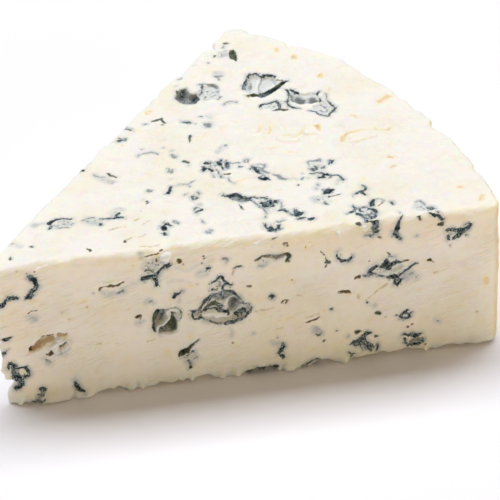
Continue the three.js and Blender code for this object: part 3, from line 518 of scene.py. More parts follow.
# What shows on the top: places are along the front cut and away from it.
TOP_MARKS = [
    # The chain of pale veins that crosses the thin end.
    *veins(Tint.DARK, ".4: 14.2,12.9,.9 14.8,13.5,.5 15.6,13.9 16.8,14.1 18,14 18.7,13.6,.35; .4: 14.5,12 14.2,11; .7:"
           " 24,10.7; .6: 24.2,12.4,.35 25.6,12.2,.4 26.8,12 28,12.1 28.5,12.1,.35; .4: 27.1,12.5,.5 27.3,13.2"
           " 28,13.5"),
    *veins(Tint.GREY, ".35: 15.7,11.1 16.6,10.7 17.7,10.8; .4: 17.1,12.1; .35: 18.8,12.3; .4: 20.5,12.6 21.2,12.7"
           " 21.9,13.1 22.7,13.2,.35 23.3,12.9,.3; .4: 24.4,10.3; .4: 6.8,7.7"),
    *veins(Tint.BLOOM, "3: 15.5,12.3 17.5,12.3; 2.2: 21.5,12.3 23.5,11.5; 2: 27,13.5 28.3,14.8; 1.2: 11.5,12.8 13,13.4;"
           " 1.2: 6.4,7.7 7.5,7.4 8,6.8"),
    *veins(Tint.OLIVE, ".6: 10.2,6 10.4,5.7; .55: 5.8,2.6 5.9,3"),
    # Loose marks in the left half.
    *veins(Tint.GREY, ".35: 25,28.3 25.3,27.5 26.1,27 27,26.8; .35: 28.2,24.5; .4: 23.2,31 24.4,32.3; .6: 31.6,40.3"
           " 32,39.6 32.6,39.2 32.9,40; .3: 34.3,32.5 34.5,33,.35 35,33.4 36,33.6 37,33.6 37.8,33.2,.4 38.4,32.7,.35;"
           " .4: 41,31.8 41.2,31.2,.5 41.6,30.7,.5 41.9,31.3 41.4,31.7,.3; .4: 39.8,26.7 39.7,26,.5 40.2,25.5"
           " 40.4,26.2; .25: 43.9,27.2; .3: 39.9,34.8; .35: 41.2,20.9,.25 42.4,20.6 43,21.1,.4 43.7,21.7 44.1,21.9,.2;"
           " .35: 42.6,20 42.8,19.6; .7: 34.5,20 34.9,19.8"),
    *veins(Tint.OLIVE, ".3: 27.8,28 28.2,27.2,.5 28.7,26.7,.4 29.1,26.2; .55: 35.6,35.6; .45: 42.9,29.2,.5 43.4,28.6"
           " 43.9,27.9,.4; .5: 45.9,37.9,.6 45.8,37.5 45.6,36.6,.2 45.4,35.8,.15; .4: 33.9,16.6 34.1,16.1,.45"
           " 33.6,15.6,.3"),
    *veins(Tint.BLOOM, "1.3: 25.2,28 26,26.2 28.2,24.8; 2: 32,40; .8: 41.3,33.3; 1: 39,20.3 41,20.8 42.5,20.6; 1:"
           " 33.2,17.2; .5: 39.4,23.3"),
    *veins(Tint.DARK, ".6: 22.9,30.1; .7: 31.4,39 31.8,39.4; .6: 38.1,18.4,.7 38.5,19.2 39,20.3,.5"),
    *veins(Tint.YELLOW, ".4: 32.1,37.3; .3: 46.8,36.3 48,37.2 49,38.3; .3: 43.8,23.7"),
    Vein(Tint.BROWN, 0.3, "32.1,13.6"),
    # The column of small rings.
    *veins(Tint.DARK, ".35: 44.1,17.5 44.1,17.1; .4: 42.5,15.9 42.6,15.3,.45 43.2,15.2 43.4,15.8 42.9,16.2,.35"
           " 42.5,15.9; .4: 42.6,10.2,.5 42.7,10.7 43.5,11 43.9,11.6,.35; .4: 42.8,12 42.4,11.6; .35: 44,3.1"),
    *veins(Tint.GREY, ".3: 41.2,17 42,17.3; .3: 43.2,12.1 43.6,11.6; .3: 43,8,.2 43.2,7.2 43.4,6.6; .4: 43.3,3.7"
           " 43.6,3,.45 44.3,3.1 44.4,3.7,.3 43.9,4,.35; .3: 37.7,8.3 37.8,7.7,.4 38.4,7.4,.4 38.7,8 38.2,8.5"),
    Vein(Tint.BLOOM, 1.0, "43.6,13.5 43.8,12.5"),
    # The black hole near the front edge, and the cracks beside it.
    Patch(Tint.DARK, 1.8, "35.1,7.2 35.7,7.4 36.1,6.9 36.1,6.1 35.9,5.6 35.3,5.7 35,6.4"),
    Vein(Tint.DARK, 0.4, "36,7.6 36.4,7.9,.5 36.7,7.2 36.9,6.7,.25", 0.8),
    Vein(Tint.DARK, 0.7, "35.4,5 35.5,4.6", 0.9),
    Vein(Tint.GREY, 0.25, "36,8.8 35.7,8.2"),
    *veins(Tint.TAN, ".3: 25.3,8.1 26.2,8.4 27.3,8.6 28.5,8.8; .45: 30.6,10.3 31,10.7 31.4,11; .3: 31.8,8.8 32.6,9.3"
           " 33.3,9.9; .35: 27.8,4 28.6,4.4 29.3,5; .25: 30.4,4.6 31.2,4.7 31.9,5.3; .3: 28.6,11.9 29,11.3; .2:"
           " 30.2,1.1 31.5,1.2 33,1.1 34,1.4"),
    *veins(Tint.BROWN, ".5: 27.6,3.9 27.8,3.7; .3: 20.6,3 20.9,2.5,.4 21,2.1,.25"),
    # The speckled band across the middle.
    *veins(Tint.DARK, ".8: 46.4,24.9 46.7,25.3,.9 46.5,25.9,.5; .4: 46.9,25.4,.3 47.5,25.2 47.9,24.6,.5 48.1,24.1; .6:"
           " 46.9,27.1,.5 47.3,27.5 47.9,27.2 47.5,26.9,.4; .9: 49.6,26.9,.7 49.8,26.3 49.9,25.6,.5; .5: 50.2,27.9"
           " 50.2,27.3; .6: 51.3,26.6 51.2,25.9,.8 51.2,25.2 51.1,24.6,.4; .45: 53.4,24.6 53.8,24.5; .4: 50.1,25"
           " 50.3,24.4,.35; .35: 49.5,22.5 49.4,21.8; .8: 56,24.3,.5 56.4,23.6,.9 56.5,22.7 56.7,21.9,.7 57,21.4,.4;"
           " .35: 55.5,23.5; .4: 56.4,20 56.8,19.4,.6 57.4,19.2,.9 57.9,19.4,.7 58.3,18.9"),
    *veins(Tint.GREY, ".35: 51.8,26.3 52.7,26,.4 53.5,26.2 53.7,25.9,.3; .4: 54.6,26.2 54.8,26.9 55.4,27,.45 55.8,26.8"
           " 55.2,26.2,.3; .4: 48.9,24.4 49.3,23.6 49.2,23; .35: 50.6,21 50.7,20.3,.4 50.9,19.9,.3 51.4,19.1,.25; .3:"
           " 48,23.2 48.1,22.2; .4: 50.7,26.9 51.3,27.4; .5: 57,24.6,.4 57.7,24.9,.4 58.4,24.4 58.4,23.6 57.8,23,.6"
           " 57.4,22.4,.6 57.2,23.6; .7: 57.9,22.1 58.6,21.3; .5: 57,20.3 57.9,20.2; .8: 59.5,20.9,.3 60.3,20"
           " 60.6,19.2,1 61.2,18.6,.7 61.9,18.2,.2; .4: 64.6,17.5 64.9,17.9; .3: 65.8,17.6; .35: 65.1,19.7"),
    Vein(Tint.BROWN, 0.6, "50.3,22.7,.4 50.9,22.3 51.2,22.4,.3"),
    Vein(Tint.YELLOW, 0.35, "51.8,19.5 53,19.7,.4 54,20.5,.3"),
    *veins(Tint.BLOOM, "3: 48,26 51,26; .5: 62.5,17.8 63.8,17.5; 2: 57.5,21"),
    Vein(Tint.OLIVE, 0.4, "63.5,15.6"),
    # The marks right of it.
    *veins(Tint.GREY, ".5: 66.6,22.9,.4 66.9,23.4 67.9,23.3 68.7,23.2 69.3,23.6,.4 69.4,23,.3; .35: 66.7,22.7"
           " 66.8,21.8; .4: 69.8,16.9 70.2,17.3; .5: 67.8,12.8 68.3,11.6; .5: 67.3,15.1 67.2,14.6; .9: 67.4,8.3"),
    *veins(Tint.DARK, ".8: 67,20.7,.6 67.4,20.4,1 67.9,20.6 68.1,21.2,.5 67.9,21.7,.3; .45: 69.1,20.5 69.5,20.8,.5; .4:"
           " 70.9,21.5 71.1,22.2 71.3,22.9,.5 71.7,22.5,.5 71.5,21.8,.35; .5: 66.8,19.2 67.8,19,.4 68.7,18.7,.6"
           " 69.3,18.2 70.1,17.8,.6 71,17.3 71.8,17.1 72.2,16.5 72.4,15.5,.4; .6: 68.1,17.3,.7 68.7,17.2 68.9,17.9,.4;"
           " 1: 67.9,11.3,.5 68.6,11.9 69,12.6 69.6,12.9,.6; .35: 67.4,8.3; .6: 75.6,13,.3 75.9,12.2 76.1,11.3,.5"
           " 75.5,10.8,.4 74.7,10.5 73.9,10.1 73.4,9.9,.3; .6: 75,10 75.4,9.3,.4"),
    *veins(Tint.BLOOM, "1.4: 67.8,22 69.5,21.6; 1: 72,16 71,14.8; 2.4: 66,10 67.5,9.5; 1.6: 67,13.8; 1.4: 75.5,12"),
    Vein(Tint.OLIVE, 0.2, "68.5,10.3,.3 69.4,10.4 71,10.6,.15"),
    # The long spindle and the clusters along the front edge.
    Patch(Tint.GREY, 0.6, "48.7,15.2 50,15.1 51.5,14.9 52.8,14 53.6,13.1 52.8,11.9 51.5,12.3 50.5,13.3 49.5,14.5"),
    *veins(Tint.DARK, ".5: 48.5,15.5 49,15,.4 50.3,15,.3 51.5,14.8 52.3,14.2,.4 53.3,13.2; .3: 49.8,14.3,.25 50.8,13.2"
           " 51.6,12.3 52.6,12.1 53.5,12.6,.5; .4: 53.5,13.2,.6 54.2,13.4 55.3,13 56.2,12.7 57.2,12,.3 58.3,11.2,.25"
           " 59,10.6,.2; .5: 56.4,11.6 57.3,11.7; .55: 58.2,7.8 59,7.7 59.5,7.2; .4: 60.3,6.1 60.9,5.6,.9 61.4,6,1.2"
           " 61.3,6.9,.7 61.4,7.5; .6: 61.2,5.2,.8 62,5.4 62.4,6,.4; .5: 61.2,4.1 61.8,3.9 62.4,4.2,.4; .8: 63.2,3.5"
           " 63.8,3.6,.9 64.2,3.9,.5; .4: 55.6,2.6 55.9,2; .5: 72.2,6,.4 72.5,5.3 72.2,4.7,.7 71.4,4,.8 70.9,3.9,.3;"
           " .35: 72.5,5.1 73.8,5.1 74.9,5,.3; .8: 72.6,3.1 73.2,2.6,.9 73.6,1.9 73.7,1.2,.6 73.4,.6,.6 73.7,.1,.5;"
           " .35: 73.1,4.4 73.9,4.1,.3; .6: 74.2,1.5 74.9,1.5 75.7,2 76.2,2.9 76,3.9 75.4,4.5,.5 74.9,4.4,.35; .5:"
           " 74.5,2.6 74.9,2.1; .4: 75.5,5.3 75.9,5.8,.9 76.3,6.6,.7 76.6,7.4; .9: 74.5,.4,.6 75,0; .45: 79.7,6.1"
           " 79.9,5.4; .3: 80.5,.8 80.3,0; .6: 86.1,2.4,.5 86.6,1.9,.7 87.2,2.1; .5: 85.8,.7,.3 86.3,.2,.4 86.8,0; .35:"
           " 87.7,.7 87.9,.2"),
    *veins(Tint.DARK, "1.2: 55.2,11.2,.7 56,11,1.1 56.8,10.7 57.6,10.5,.9 58.3,10.2,.5; 1: 55.6,10.2 56.6,10,1.3"
           " 57.4,9.6,.8", 0.8),
    *veins(Tint.GREY, ".4: 53.8,12,.35 54.4,11 54.8,9.8,.5 55.3,8.6 55.6,7.3; .6: 55.3,9.6 56,9; .4: 59.1,10,.3 59,8.9"
           " 58.7,8.1; .45: 55.1,6.3 55,5.6; .25: 60,7 59.7,6.5; .5: 57.2,4.1 57.8,4 58.4,4.4; .7: 74.7,2.9 75.3,3.4"
           " 75.6,2.6; .3: 76.6,7.4 77.4,7.7 78.2,7.3 78.5,6.6 78,6; .3: 80.5,1.9; .4: 84.3,5,.3 85.2,5.2,.3 85.8,4.4"
           " 86,3.6; 1: 86.3,2.2 87,2.4"),
    Vein(Tint.OLIVE, 0.3, "51,11.4 51.3,10.2 51.5,9.6"),
    Vein(Tint.PALE, 0.8, "54.6,12 55,11.4"),
    *veins(Tint.BLOOM, "2: 56.5,8.5; 1.6: 55.8,3.2; 3: 74,3.5; 2.5: 84.5,3.2 86.3,2"),
    Vein(Tint.DARK, 0.6, "54.6,3.7,.4 54.6,2.9 54.9,2.2,.7 55.3,1.6,1 56,1.2,1.2 56.7,1.4,1.1 57.1,2.1"
         " 57.3,2.9,.5", 0.6),
    Vein(Tint.BROWN, 0.2, "77,5 77.8,5.6"),
    Patch(Tint.PALE, 0.3, "72.9,4.6 73.7,4.8 74.6,4.4 74.8,3.6 73.9,3 73,3.6"),
    Patch(Tint.PALE, 0.2, "83.6,4 84.4,5 85.3,5.3 86,4.3 86.1,2.8 85.3,1.6 84.3,1.8 83.6,2.8"),
    # Marks near the back edge.
    *veins(Tint.DARK, ".6: 33.3,43.7 33.8,43.4,.7 34.3,42.9; .4: 49,44.7; 1: 47,55.8 47.4,54.6,.8; .5: 45.9,55.3; .3:"
           " 51.4,57.2,.4 51.1,55.8 50.8,54.5 50.4,53.2; .5: 50.9,57.2 51.6,57.3; .45: 51.3,52.9"),
    *veins(Tint.YELLOW, ".4: 35.7,43 36.2,42.2; .5: 52.2,38.7"),
    *veins(Tint.OLIVE, ".4: 39.1,45.2 39.8,45.1,.6 40.5,45.5,.5 41,45.3 41.2,46; .5: 41.1,45,.4 41.3,44.3"
           " 41.6,43.9,.35; .35: 41,43.4; .45: 58.8,72.4 59.5,72.2; .5: 55.7,68.2 55.6,67.7"),
    *veins(Tint.GREY, ".6: 37.3,44.1 37.7,44.5; .3: 47.5,42.4; .5: 49.3,41.2 49.6,41.8 50.3,41.9,.4 50.6,41.2 50.3,40.5"
           " 49.5,40.4; 1.4: 50,41.1; .8: 52,56.9,.5 52.8,56.5 53.8,56.1 54.2,55.4,.6; .5: 53.9,54.3 54.2,54.2; .4:"
           " 52.3,52.7 53.3,53.1; .4: 51,51.2 51.3,51.9; .5: 53.5,50.6 54.3,51.2; .35: 54.5,48 54.9,48.9 55.5,49.4"
           " 56.2,49.4 56.7,49; .4: 57,48.6; .4: 54.4,59.9 55.1,59.4,.9 55.9,59.6; .4: 55.1,58.6 55.2,58; .5: 58,70.9"
           " 58.3,71.5; .4: 58.3,69.3; .4: 54.2,65.2; .5: 46.8,60.3 47.4,60.4"),
    Patch(Tint.DARK, 1.4, "45.1,44 45.7,43.9 46.6,43.5 46.9,43 46.4,42.7 45.7,43 45.2,43.4"),
    *veins(Tint.BLOOM, "2.5: 50,41.5; 1.6: 50.5,44.5; 3: 52.5,54; 1.5: 55.5,49; 2: 55.5,60.5; .8: 51,65; .7: 45.9,57.4;"
           " 2.5: 57.5,68"),
    Patch(Tint.GREY, 2.0, "45.2,53 45.6,55.2 46.5,55.8 48,56.4 48.3,54.3 49.9,54 50,51.5 49,50 47.5,49.9 46.2,50.6"),
    *veins(Tint.DARK, "1.4: 46.3,52.6,.8 47.3,51.5 48.5,50.8,1; 1.3: 49.3,53.3 49.6,52.3 49.4,51.6", 2.2),
    *veins(Tint.PALE, ".35: 47.9,53.3 48,51.8; .3: 48.8,51.5 48.6,50.6", -1.0),
    Patch(Tint.PALE, 0.5, "51.4,56.4 54.5,56.5 54.6,53.5 53.9,50.6 51.3,50.7 50.6,53"),
    Patch(Tint.OLIVE, 0.8, "58.8,68.2 59.3,69.3 60,69.4 60.5,68 60.2,66 59.9,64.5 59.5,65.6 58.8,66"),
    # The large pocket: pale inside, with a black and olive crescent of painted shadow along its near rim, where the rim
    # undercuts the paste.
    Patch(Tint.PALE, 0.9, "59.6,53.4 60.3,55.6 61.2,57.8 62,58.7 63,58.7 63.6,57.8 64.9,58 66.2,57.4 66.8,56.4"
          " 66.9,54.8 66.2,53.4 65.2,52.4 63.4,51.2 62.7,50.8 62.4,51.2 61.5,51.2 60.4,51.2 59.8,52.2"),
    # painted shadow under the near rim: an olive band and, inside it, a black crescent
    Patch(Tint.OLIVE, 1.0, "59.5,50.9 60.7,49.6 62.4,49.3 63.7,49.9 65.1,50.7 66.5,51.7 67.6,52.9 68.9,54.4 67.7,54.4"
          " 66.4,53.4 65.3,52.5 64.3,51.8 63.3,51.4 62.8,50.9 62.2,52.4 61.6,51.4 60.9,50.8"),
    Patch(Tint.DARK, 1.1, "62.2,52.2 61.8,51 62.4,50 63.6,50.2 65,51 66.4,51.9 67.4,53 67.2,53.7 66,52.8 64.6,51.8"
          " 63.2,51.1 62.6,50.9"),
    *veins(Tint.DARK, ".35: 59.4,53.4,.6 59.8,54.6,.6 60.3,55.9,.5 60.8,57.1 61.4,58.3 62.1,58.8 63.1,58.8,.4"
           " 63.7,57.7,.3; .55: 63.8,57.8,.3 64.9,58.1 65.8,57.6,.5 66.5,57.2,.35 66.8,56.5,.25; .3: 67.5,54 68.4,54.3"
           " 69,54.6"),
    Vein(Tint.OLIVE, 0.35, "67,55.4 67.8,54.9"),
    Vein(Tint.TAN, 0.5, "59.2,51 59.9,50.2"),
    Vein(Tint.GREY, 0.3, "63.7,57.2 63.2,55.9 62.7,54.4 62.5,52.6"),
    Vein(Tint.FOLD, 0.5, "63.2,57.4 62.8,56 62.3,54.4 62,52.9", -0.4),
    Vein(Tint.FOLD, 0.8, "63.2,52.2 64.6,53.2 65.9,54.4", -0.5),
    Patch(Tint.GREY, 0, "60.6,54.6 61.3,56.6 61.7,56.2 61.2,54.2 60.6,53.2"),
    # The small loop below it.
    Vein(Tint.DARK, 0.5, "61.5,45.6,.4 61.9,46.5 62.7,46.9 63.6,46.8,.35 64.4,47.1,.4 65,47.2,.6 65.4,46.4 65.5,45.5"
         " 65.4,44.6,.4"),
    Vein(Tint.OLIVE, 0.5, "64,43.8,.3 64.6,43.9 65.4,44.1 66,43.6 66.8,43.6,.3"),
    Patch(Tint.PALE, 0.2, "62.1,45.9 62.9,46.6 64.5,46.8 65.1,46 65,44.8 63.6,44.5 62.4,44.8"),
    *veins(Tint.GREY, ".25: 62.6,45.6 63.6,45.9; .25: 64.2,45.2 64.7,45.9"),
    # The dark hollow right of it, and the pale loop at its end.
    *veins(Tint.DARK, ".3: 67.8,51.2 68.2,50.6 68.2,49.4 67.9,48.1 67.5,47,.35 67.1,46,.45 67.2,45,.45 67.9,44.2,.45"
           " 68.6,43.6,.4 69.2,43.4; .35: 68.8,51,.4 69.5,50 70.1,49.5,.25; .35: 73.7,44.9,.25 74,45.8 74.1,46.5,.2;"
           " .3: 73.9,48.4 74.5,48.7; .35: 71,42.2,.2 71.9,41.4,.25 72.5,40.6,.4 73.2,40.1 73.9,39.3,.45 74.4,39.2,.5"
           " 74.9,40,.3 75.5,40.7,.4 76,41.7,.45 76.3,42.3 75.8,43.1 75.5,44,.45 75.3,44.9,.25"),
    Patch(Tint.PALE, 0.5, "68.5,50.6 69.2,50.2 70.4,49.6 71.6,49.3 73,49.4 74.2,48.4 74.1,47 73.9,45.6 73,44.7"
          " 71.8,44.5 70.6,44.9 69.4,45 68.2,45.8 67.9,47.4"),
    # painted shade: two soft dark spots in the hollow and a faint one at its left side
    *veins(Tint.SHADE, "2.2: 69.6,48.1,1.4 69.9,46.9 70,46.3,1.6; 2.1: 72.4,47.2,1.2 72.6,46 72.6,45.5,1.4", 0.5),
    Vein(Tint.SHADE, 0.5, "68.6,49.4 68.6,47.2"),
    *veins(Tint.GREY, ".25: 75.5,47.8 75.4,46.4 75.3,45.2; .3: 74.2,43.6 74.8,42.4 74.6,41.2; .3: 73.4,42.4 74,41.6;"
           " .25: 73.8,44 74.6,43.2"),
    Patch(Tint.PALE, 0.4, "71.6,42.5 72.9,41.1 74.2,40.4 75.5,42 75.1,43.6 74.8,45 73.2,44.1 71.9,43.6"),
    Vein(Tint.BLOOM, 0.8, "74,40.2 75.6,41.6 75.6,43.6"),
    # Pits and tears in the bare paste. The soft yellow and tan along the tears is partly the paste's own yellow and
    # partly painted shade on their sunken sides.
    *veins(Tint.YELLOW, ".8: 78.9,38.7 79.4,38.2 79.9,37.4; .8: 63.2,33.9,.4 64.8,33.9,.6 66.1,33.1 67.2,33.9,.5"
           " 68.2,35,.3 69.2,35.9,.2; 1.2: 85.5,42.5 86.8,43.3 88,44", 0.35),
    Vein(Tint.YELLOW, 1.0, "71.3,36.3,1.3 71.4,35.2 71.6,34.2,.5", 0.9),
    *veins(Tint.YELLOW, ".9: 75,29.6 75.6,30.8,1.1 76.8,32.1 78.5,32.9,.5 80.5,32.7,.4 82.5,32.7,.3; .45: 62.2,38.3"
           " 61.8,36.4 61.2,35.4; .9: 69,68 68.9,66.8; .6: 76.6,49.6 76.3,48.7", 0.4),
    Vein(Tint.YELLOW, 0.6, "82.5,32.7 84.6,31.4,.4", 0.2),
    Vein(Tint.TAN, 0.7, "74.9,29.6,.6 75.3,30.3 75.9,31.1,.3", 0.5),
    Vein(Tint.PASTE, 2.0, "77.6,30.1 79.6,30.2 81.3,30.2", -0.6),
    *veins(Tint.PASTE, "1.2: 76.6,29 78,28.9; 1.4: 68.6,33.8 70.3,33.3; 1.3: 58.2,35.2 60,34.6", -0.4),
    *veins(Tint.YELLOW, ".7: 83.6,31.4 85.4,31.6; .9: 82.5,18.1 83.3,18; .9: 93.6,8.1 94.2,8; .5: 60.2,38.5 59.8,37"
           " 59.2,35.9; 1.1: 75.9,55.4 75.8,54.7", 0.5),
    *veins(Tint.YELLOW, "1: 82.9,21.9 83.5,21.5; 1.3: 72,64 72.2,63.2", 0.6),
    Vein(Tint.YELLOW, 1.0, "96.7,3 97.2,3.8 97.6,4.3", 0.25),
    *veins(Tint.YELLOW, ".6: 63.4,28 64.4,27.8; .5: 60.6,30 61.6,30.2; .3: 68.9,36.7 68.5,35.8; .5: 76.4,14.9"),
    Vein(Tint.TAN, 0.7, "65.6,32.8,.3 66.1,32.5 66.6,32.9,.4", 0.4),
    Vein(Tint.PASTE, 1.8, "63,33 64.6,32.2 66.4,31.8", -0.5),
    Vein(Tint.YELLOW, 1.1, "38.7,48.6 39.3,49.3", 0.3),
    *veins(Tint.BLOOM, "1.2: 50.3,30.8 51.3,32 52.3,33.2; .7: 76.2,35.1"),
    Vein(Tint.GREY, 0.3, "52,32.8 52.2,33.4"),
]


@dataclass
class WheelCut:
    """The wedge's plain form: a slice of a round wheel. Sizes in mm, degrees for the angle."""

    radius: float = 100.0
    thickness: float = 32.6
    angle: float = 52.5
    tip_loss: float = 2.2  # how much of the sharp tip has crumbled away
    front_corner: float = 1.8  # upright corner between the front cut and the rind
    back_corner: float = 3.0  # upright corner between the back cut and the rind
    tip_corner: float = 0.9
    front_edge: float = 2.1  # upper edge of the front cut, softened by handling
    back_edge: float = 0.7  # upper edge of the back cut, as the knife left it
    rim_edge: float = 0.8  # upper edge of the rind
    low_cut_edge: float = 0.6  # lower edges of both cuts
    low_rind_edge: float = 1.4  # lower edge of the wheel itself
    rim_ease: tuple[float, float] = (4.0, 0.5)  # how far inside the rim the rind's edges begin and hold in full
    turn_ease: tuple[float, float] = (0.3, 0.6)  # shares of the angle where the front's edge turns into the back's
    spin_steps: int = 48
    corner_steps: int = 6
    weld: float = 1e-4  # points closer than this are one
    find: float = 0.1  # an edge this close to a corner's place is that corner
    voxel: float = 0.9  # the even mesh's spacing

    def build(self) -> bpy.types.Object:
        """Spins the wheel's section through the wedge's angle and lays an even mesh over it.

        Returns:
            An object whose mesh is the plain wedge in the wheel's frame, in mm.
        """
        bm = bmesh.new()
        section = [(x, 0, z) for x, z in itertools.product((self.tip_loss, self.radius), (0, self.thickness))]
        low_in, high_in, low_out, high_out = (bm.verts.new(corner) for corner in section)
        face = bm.faces.new([low_in, low_out, high_out, high_in])
        bmesh.ops.spin(
            bm,
            geom=[face, *face.edges, *face.verts],
            cent=(0, 0, 0),
            axis=(0, 0, 1),
            dvec=(0, 0, 0),
            angle=math.radians(self.angle),
            steps=self.spin_steps,
            space=Matrix.Identity(4),
            use_merge=False,
            use_normal_flip=False,
            use_duplicate=False,
        )
        bmesh.ops.remove_doubles(bm, verts=bm.verts, dist=self.weld)
        bmesh.ops.recalc_face_normals(bm, faces=bm.faces)
        bmesh.ops.bevel(
            bm,
            geom=self._corners(bm),
            offset=self.front_corner,
            offset_type="OFFSET",
            affect="EDGES",
            segments=self.corner_steps,
            profile=0.5,
            material=-1,
        )
        mesh = bpy.data.meshes.new("wedge_blank")
        bm.to_mesh(mesh)
        bm.free()
        blank = bpy.data.objects.new("wedge_blank", mesh)
        bpy.context.collection.objects.link(blank)
        remesh = blank.modifiers.new("even_mesh", "REMESH")
        remesh.mode = "VOXEL"
        remesh.voxel_size = self.voxel
        even = bpy.data.meshes.new_from_object(blank.evaluated_get(bpy.context.evaluated_depsgraph_get()))
        blank.modifiers.clear()
        blank.data = even
        bpy.data.meshes.remove(mesh)
        return blank

    def _corners(self, bm: bmesh.types.BMesh) -> list[bmesh.types.BMEdge]:
        """Finds the two upright edges where a cut meets the rind.

        Args:
            bm: The spun wedge.

        Returns:
            The edges.
        """
        ends = [Vector((self.radius, 0)), Vector((self.radius, 0)) @ Matrix.Rotation(-math.radians(self.angle), 2)]
        return [
            edge
            for edge in bm.edges
            if abs(edge.verts[0].co.z - edge.verts[1].co.z) > self.thickness / 2
            and any((edge.verts[0].co.xy - end).length < self.find for end in ends)
        ]

    def side(self, points: np.ndarray) -> tuple[np.ndarray, np.ndarray]:
        """Measures points against the wedge's outline, seen from above.

        Args:
            points: The points, one row each.

        Returns:
            Each point's distance outside the outline, and the outward direction there.
        """
        x, y = points[:, 0], points[:, 1]
        turn = math.radians(self.angle)
        middle = np.array([math.cos(turn / 2), math.sin(turn / 2)])
        away = np.hypot(x, y)
        gaps = np.stack(
            [
                -y,
                y * math.cos(turn) - x * math.sin(turn),
                away - self.radius,
                self.tip_loss * math.cos(turn / 2) - x * middle[0] - y * middle[1],
            ]
        )
        round_out = np.stack([x, y], 1) / np.maximum(away, TINY)[:, None]
        ways = np.stack(
            [
                np.broadcast_to([0.0, -1.0], round_out.shape),
                np.broadcast_to([-math.sin(turn), math.cos(turn)], round_out.shape),
                round_out,
                np.broadcast_to(-middle, round_out.shape),
            ]
        )
        order = np.argsort(gaps, axis=0)
        rows = np.arange(len(points))
        first, second = order[-1], order[-2]
        at_back = (first == 1) | (second == 1)
        at_rind = (first == 2) | (second == 2)
        bend = np.where(at_rind, np.where(at_back, self.back_corner, self.front_corner), self.tip_corner)
        lead, other = gaps[first, rows] + bend, gaps[second, rows] + bend
        both = (lead > 0) & (other > 0)
        length = np.hypot(lead, other)
        gap = np.where(both, length, lead) - bend
        round_corner = ways[first, rows] * lead[:, None] + ways[second, rows] * other[:, None]
        way = np.where(both[:, None], round_corner / np.maximum(length, TINY)[:, None], ways[first, rows])
        way /= np.linalg.norm(way, axis=1)[:, None]
        return gap, way

    def settle(self, points: np.ndarray) -> tuple[np.ndarray, np.ndarray]:
        """Lays points exactly on the wedge with its rounded edges.

        Args:
            points: Points close to the surface, one row each.

        Returns:
            The points on the surface, and the outward direction at each.
        """
        gap, way = self.side(points)
        edge = self.edge_radius(points)
        half = self.thickness / 2
        over = points[:, 2] - half
        lean = gap + edge
        rise = np.abs(over) - (half - edge)
        out = np.concatenate([way, np.zeros((len(points), 1))], axis=1)
        up = np.zeros_like(points)
        up[:, 2] = np.sign(over)
        corner = (lean > 0) & (rise > 0)
        length = np.maximum(np.hypot(lean, rise), TINY)
        rounded = (out * lean[:, None] + up * rise[:, None]) / length[:, None]
        flat = np.where((lean > rise)[:, None], out, up)
        normal = np.where(corner[:, None], rounded, flat)
        excess = np.where(corner, length - edge, np.maximum(lean, rise) - edge)
        return points - normal * excess[:, None], normal

    def edge_radius(self, points: np.ndarray) -> np.ndarray:
        """Gives the radius of the nearest upper or lower edge at each point.

        Args:
            points: Points close to the surface, one row each.

        Returns:
            The radii, eased from one edge into the next.
        """
        begin, full = self.rim_ease
        on_rind = smooth(np.hypot(points[:, 0], points[:, 1]), self.radius - begin, self.radius - full)
        turn = np.arctan2(points[:, 1], points[:, 0]) / math.radians(self.angle)
        upper = self.front_edge + (self.back_edge - self.front_edge) * smooth(turn, *self.turn_ease)
        upper += (self.rim_edge - upper) * on_rind
        lower = self.low_cut_edge + (self.low_rind_edge - self.low_cut_edge) * on_rind
        return np.where(points[:, 2] > self.thickness / 2, upper, lower)


